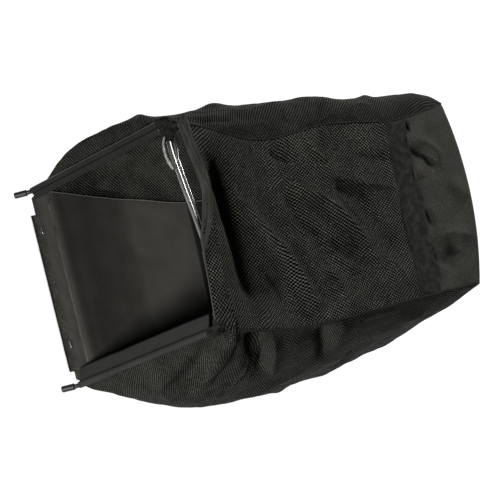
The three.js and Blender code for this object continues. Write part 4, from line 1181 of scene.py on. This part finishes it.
def wire_staple(name, side, node):
    """Wire with its two legs bent down into the margin."""
    y, reach = side * STAPLE_SPAN / 2, STAPLE_LENGTH / 2
    low, high = LIP_Z + CLOTH / 2 - 0.0006, LIP_Z + CLOTH / 2 + 0.0009
    askew = STAPLE_INSET + 0.0004
    corners = [(lip_spot(STAPLE_INSET, y + reach, low), 0), (lip_spot(STAPLE_INSET, y + reach, high), 0.0008),
               (lip_spot(askew, y - reach, high), 0.0008), (lip_spot(askew, y - reach, low), 0)]
    dress(bent_rod(name, rounded(corners), STAPLE_R, 4), staple_steel, [node])


for side, name in SIDES:
    wire_staple(f"staple_wire_{name}", side, f"staple_{name}")


# ---- rolled hem, corner strap and corner folds

HEM_FRONT = [(0, 0.003), (0.12, 0.008), (0.23, 0.014), (0.34, 0.018), (0.48, 0.009), (0.6, -0.001),
             (0.8, -0.003), (1, -0.007)]
# The rolled cloth shows at the left and runs out in a point; from there on the net itself goes round the bar
ROLL_WIDTH = [(-0.1, 1), (0.45, 1), (0.56, 0.72), (0.66, 0.28), (0.73, 0.05)]


def hem_edges(share):
    """Where the hem lies across the bag, and where its front and rear edges are."""
    held = min(max(share, 0.0), 1.0)
    y = (BAR_WIDTH / 2 - HEM_END) * (1 - share) + (-BAR_WIDTH / 2 + HEM_END) * share
    front = MOUTH_X + float(through(HEM_FRONT, held)) - 0.0016 * float(smooth(held, 0.5, 0.62))
    rear_left, rear_right = top_edge(LEFT, HEM_REAR)[0], top_edge(RIGHT, HEM_REAR)[0]
    return y, front, rear_left * (1 - held) + rear_right * held + float(hem_slip(y)) - GAP


def roll_edges(share):
    y, front, rear = hem_edges(share)
    return y, front, front + (rear - front) * float(through(ROLL_WIDTH, share))


def net_edges(share):
    """The net's edge starts under the roll and narrows round the right corner."""
    y, front, rear = hem_edges(share)
    past = max(share - 1.0, 0.0) / 0.05
    return y, front + 0.0012 + 0.016 * past, rear - 0.004 * past


def hem_roll(name, start, end, steps, edges, finish, thick=1.0, sides=64):
    """Cloth rolled over itself: a flattened tube with lengthwise creases."""
    rings = []
    for k in range(steps + 1):
        share = start + (end - start) * k / steps
        y, front, rear = edges(share)
        middle, reach = (front + rear) / 2, (rear - front) / 2
        inner = min(share, 1 - share)
        tuck = thick * min(1.0, 0.5 + 7 * max(inner, 0.0), 0.25 + reach / 0.006)
        flare = 0.010 * float(1 - smooth(max(inner, 0.0), 0.0, 0.10)) * (1 if share < 0.5 else -1)
        drop = 0.10 * min(inner, 0.0)
        ring = []
        for j in range(sides):
            angle = 2 * math.pi * (j + 0.5) / sides
            flat = math.copysign(abs(math.cos(angle)) ** 0.6, math.cos(angle))
            x, z = middle + reach * flat, HEM_THICK / 2 * math.sin(angle) * tuck
            creases = 0.0
            for number, depth in ((7, 0.0009), (13, 0.0005)):
                wander = 2.6 * uneven(y / 0.045, number * 1.7, 0)
                creases += depth * math.sin(number * flat * 2.0 + wander) * abs(math.sin(angle)) ** 0.5
            fine = 0.0012 * uneven(x / 0.005, y / 0.05, z / 0.006)
            lift = math.copysign(creases + fine, math.sin(angle)) if z > 0 else fine * 0.2
            ring.append((x, y + flare * (flat + 1) / 2, MOUTH_Z + HEM_LIFT + z + lift + drop))
        rings.append(ring)
    piece = loft(name, rings)
    cloth_map(piece, np.array(rings))
    dress(piece, finish, ["top_hem"])


hem_roll("rolled_hem_cloth", -0.03, 0.73, 110, roll_edges, hem_weave)
hem_roll("net_hem_cloth", 0.36, 1.05, 100, net_edges, top_net, 0.86)

# A cord paler than the seam piping runs along the hem's front edge: its pale colour is a painted highlight of
# that edge.
EDGE_CORD_R = 0.0011
shares = np.linspace(0.62, 0.995, 70)
line_z = MOUTH_Z + HEM_LIFT - 0.0004
line = np.array([(front + 0.0002, y, line_z) for y, front, rear in map(hem_edges, shares)])
line[:, 0] += 0.0016 * smooth(0.68 - shares, 0.0, 0.06)
dress(bent_rod("hem_edge_piping_painted_highlight", line, EDGE_CORD_R, 3), edge_highlight_cord, ["top_hem"])


def corner_strap(steps=60, width=0.0066):
    """A narrow web that curls forward round the front of the bar."""
    stand = ROD_R + GAP + 0.0014
    stops = [(0.088, -stand - 0.0012, 0.0012), (0.105, -0.0088, 0.001), (0.132, -0.0105, 0.0002),
             (0.17, -0.0108, -0.0006), (0.208, -0.0090, -0.001), (0.242, -stand, -0.001)]
    fine = np.linspace(0, len(stops) - 1, steps)
    shares, ahead, lift = (through(list(enumerate(column)), fine) for column in zip(*stops))
    line = bar_spot(shares)
    line[:, 0] += ahead
    line[:, 2] += lift
    rows = []
    for k, place in enumerate(line):
        way = unit(line[min(k + 1, steps - 1)] - line[max(k - 1, 0)])
        curl = 0.35 * uneven(k / 14, 2.0, 7.0)
        tall, out = frame_along(way, UP)
        tall = swung(tall, out, curl)
        rows.append([place + tall * width * (v - 0.5) + out * (0.0009 * (1 - (2 * v - 1) ** 2))
                     for v in np.linspace(0, 1, 9)])
    panel("corner_strap_web", np.array(rows), strap_web, ["corner_strap"], STRAP_THICK)


corner_strap()


def corner_sleeve(name, side, node, bar_reach, full, steps=46, sides=40):
    """The bunched cloth end that wraps the bend of the hoop."""
    head, foot = leg_head(side), leg_foot(side)
    bar_end = bar_spot(bar_reach if side == LEFT else 1 - bar_reach)
    leg_end = head + unit(foot - head) * (BINDING_HEAD - 0.0015)
    route = np.array(rounded([(leg_end, 0), (head, ROD_BEND), (bar_end, 0)]))
    way = lengths(route)
    at = np.linspace(0, way[-1], steps)
    line = np.stack([np.interp(at, way, route[:, k]) for k in range(3)], -1)
    rings = []
    for k, place in enumerate(line):
        step = unit(line[min(k + 1, steps - 1)] - line[max(k - 1, 0)])
        first, second = frame_along(step, UP)
        share = k / (steps - 1)
        body = full * (0.75 + 0.5 * math.sin(math.pi * min(share * 1.15, 1)) - 0.35 * share)
        ring = []
        for j in range(sides):
            angle = 2 * math.pi * j / sides
            out = swung(first, second, angle)
            gathers = 0.0011 * math.sin(5 * angle + 7 * share + side)
            gathers += 0.0006 * math.sin(11 * angle - 9 * share)
            crumple = 0.0024 * noise.noise(Vector(place + out * 0.006) / 0.007)
            outside = 0.6 + 0.4 * float(out @ np.array([0, side, 0]))
            ring.append(place + out * (ROD_R + GAP + 0.0009 + max(0.0, body * outside + gathers + crumple)))
        rings.append(ring)
    dress(cloth_piece(name, rings, SLEEVE_THICK, tube=True), fold_weave, [node])


corner_sleeve("corner_fold_cloth_left", LEFT, "corner_fold_left", 0.105, 0.0034)
corner_sleeve("corner_fold_cloth_right", RIGHT, "corner_fold_right", 0.075, 0.0045)


# ---- camera, floor and light

LENS_LENGTH, SENSOR_WIDTH = 84.24, 36.0
CAMERA_PLACE = (-0.571, -0.454, 1.974)
FLOOR_SIZE, FLOOR_PLACE, FLOOR_DROP = 14, (0.3, 0), 0.0002
SKY_STRENGTH = 0.1

lens = bpy.data.cameras.new("photo_lens")
lens.lens, lens.sensor_width = LENS_LENGTH, SENSOR_WIDTH
camera = put("photo_camera", lens)
forward = Vector((0.43, 0.212, -0.877)).normalized()
upward = Vector((0.114, 0.951, 0.286))
sideways = forward.cross(upward).normalized()
upward = sideways.cross(forward).normalized()
turn = Matrix((sideways, upward, -forward)).transposed().to_4x4()
camera.matrix_world = Matrix.Translation(CAMERA_PLACE) @ turn
bpy.context.scene.camera = camera

low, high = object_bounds()
bpy.ops.object.select_all(action="DESELECT")
floor_z = min(low.z, cad_box[0].z) - FLOOR_DROP
bpy.ops.mesh.primitive_plane_add(size=FLOOR_SIZE, location=(*FLOOR_PLACE, floor_z))
studio_floor = bpy.context.active_object
studio_floor.name = "studio_floor"
studio_floor.data.materials.append(floor_finish())


def soft_light(name, place, aim, size, power):
    light = bpy.data.lights.new(name, "AREA")
    light.shape, light.size, light.energy = "SQUARE", size, power
    lamp = put(name, light)
    lamp.location = place
    lamp.rotation_euler = (Vector(aim) - Vector(place)).to_track_quat("-Z", "Y").to_euler()


soft_light("rear_light", (2.2, 1.4, 1.5), (0.4, 0.0, 0.25), size=0.6, power=175)
soft_light("side_light", (-2.1, -1.25, 0.75), (0.2, -0.2, 0.15), size=0.4, power=108)
soft_light("mouth_light", (-1.3, -0.9, 1.4), (0.15, 0.05, 0.12), size=0.5, power=80)

sky = bpy.data.worlds.new("studio_air")
sky.use_nodes = True
air = sky.node_tree.nodes["Background"]
air.inputs["Color"].default_value = (1, 1, 1, 1)
air.inputs["Strength"].default_value = SKY_STRENGTH
bpy.context.scene.world = sky
bpy.context.scene.view_settings.view_transform = "Standard"
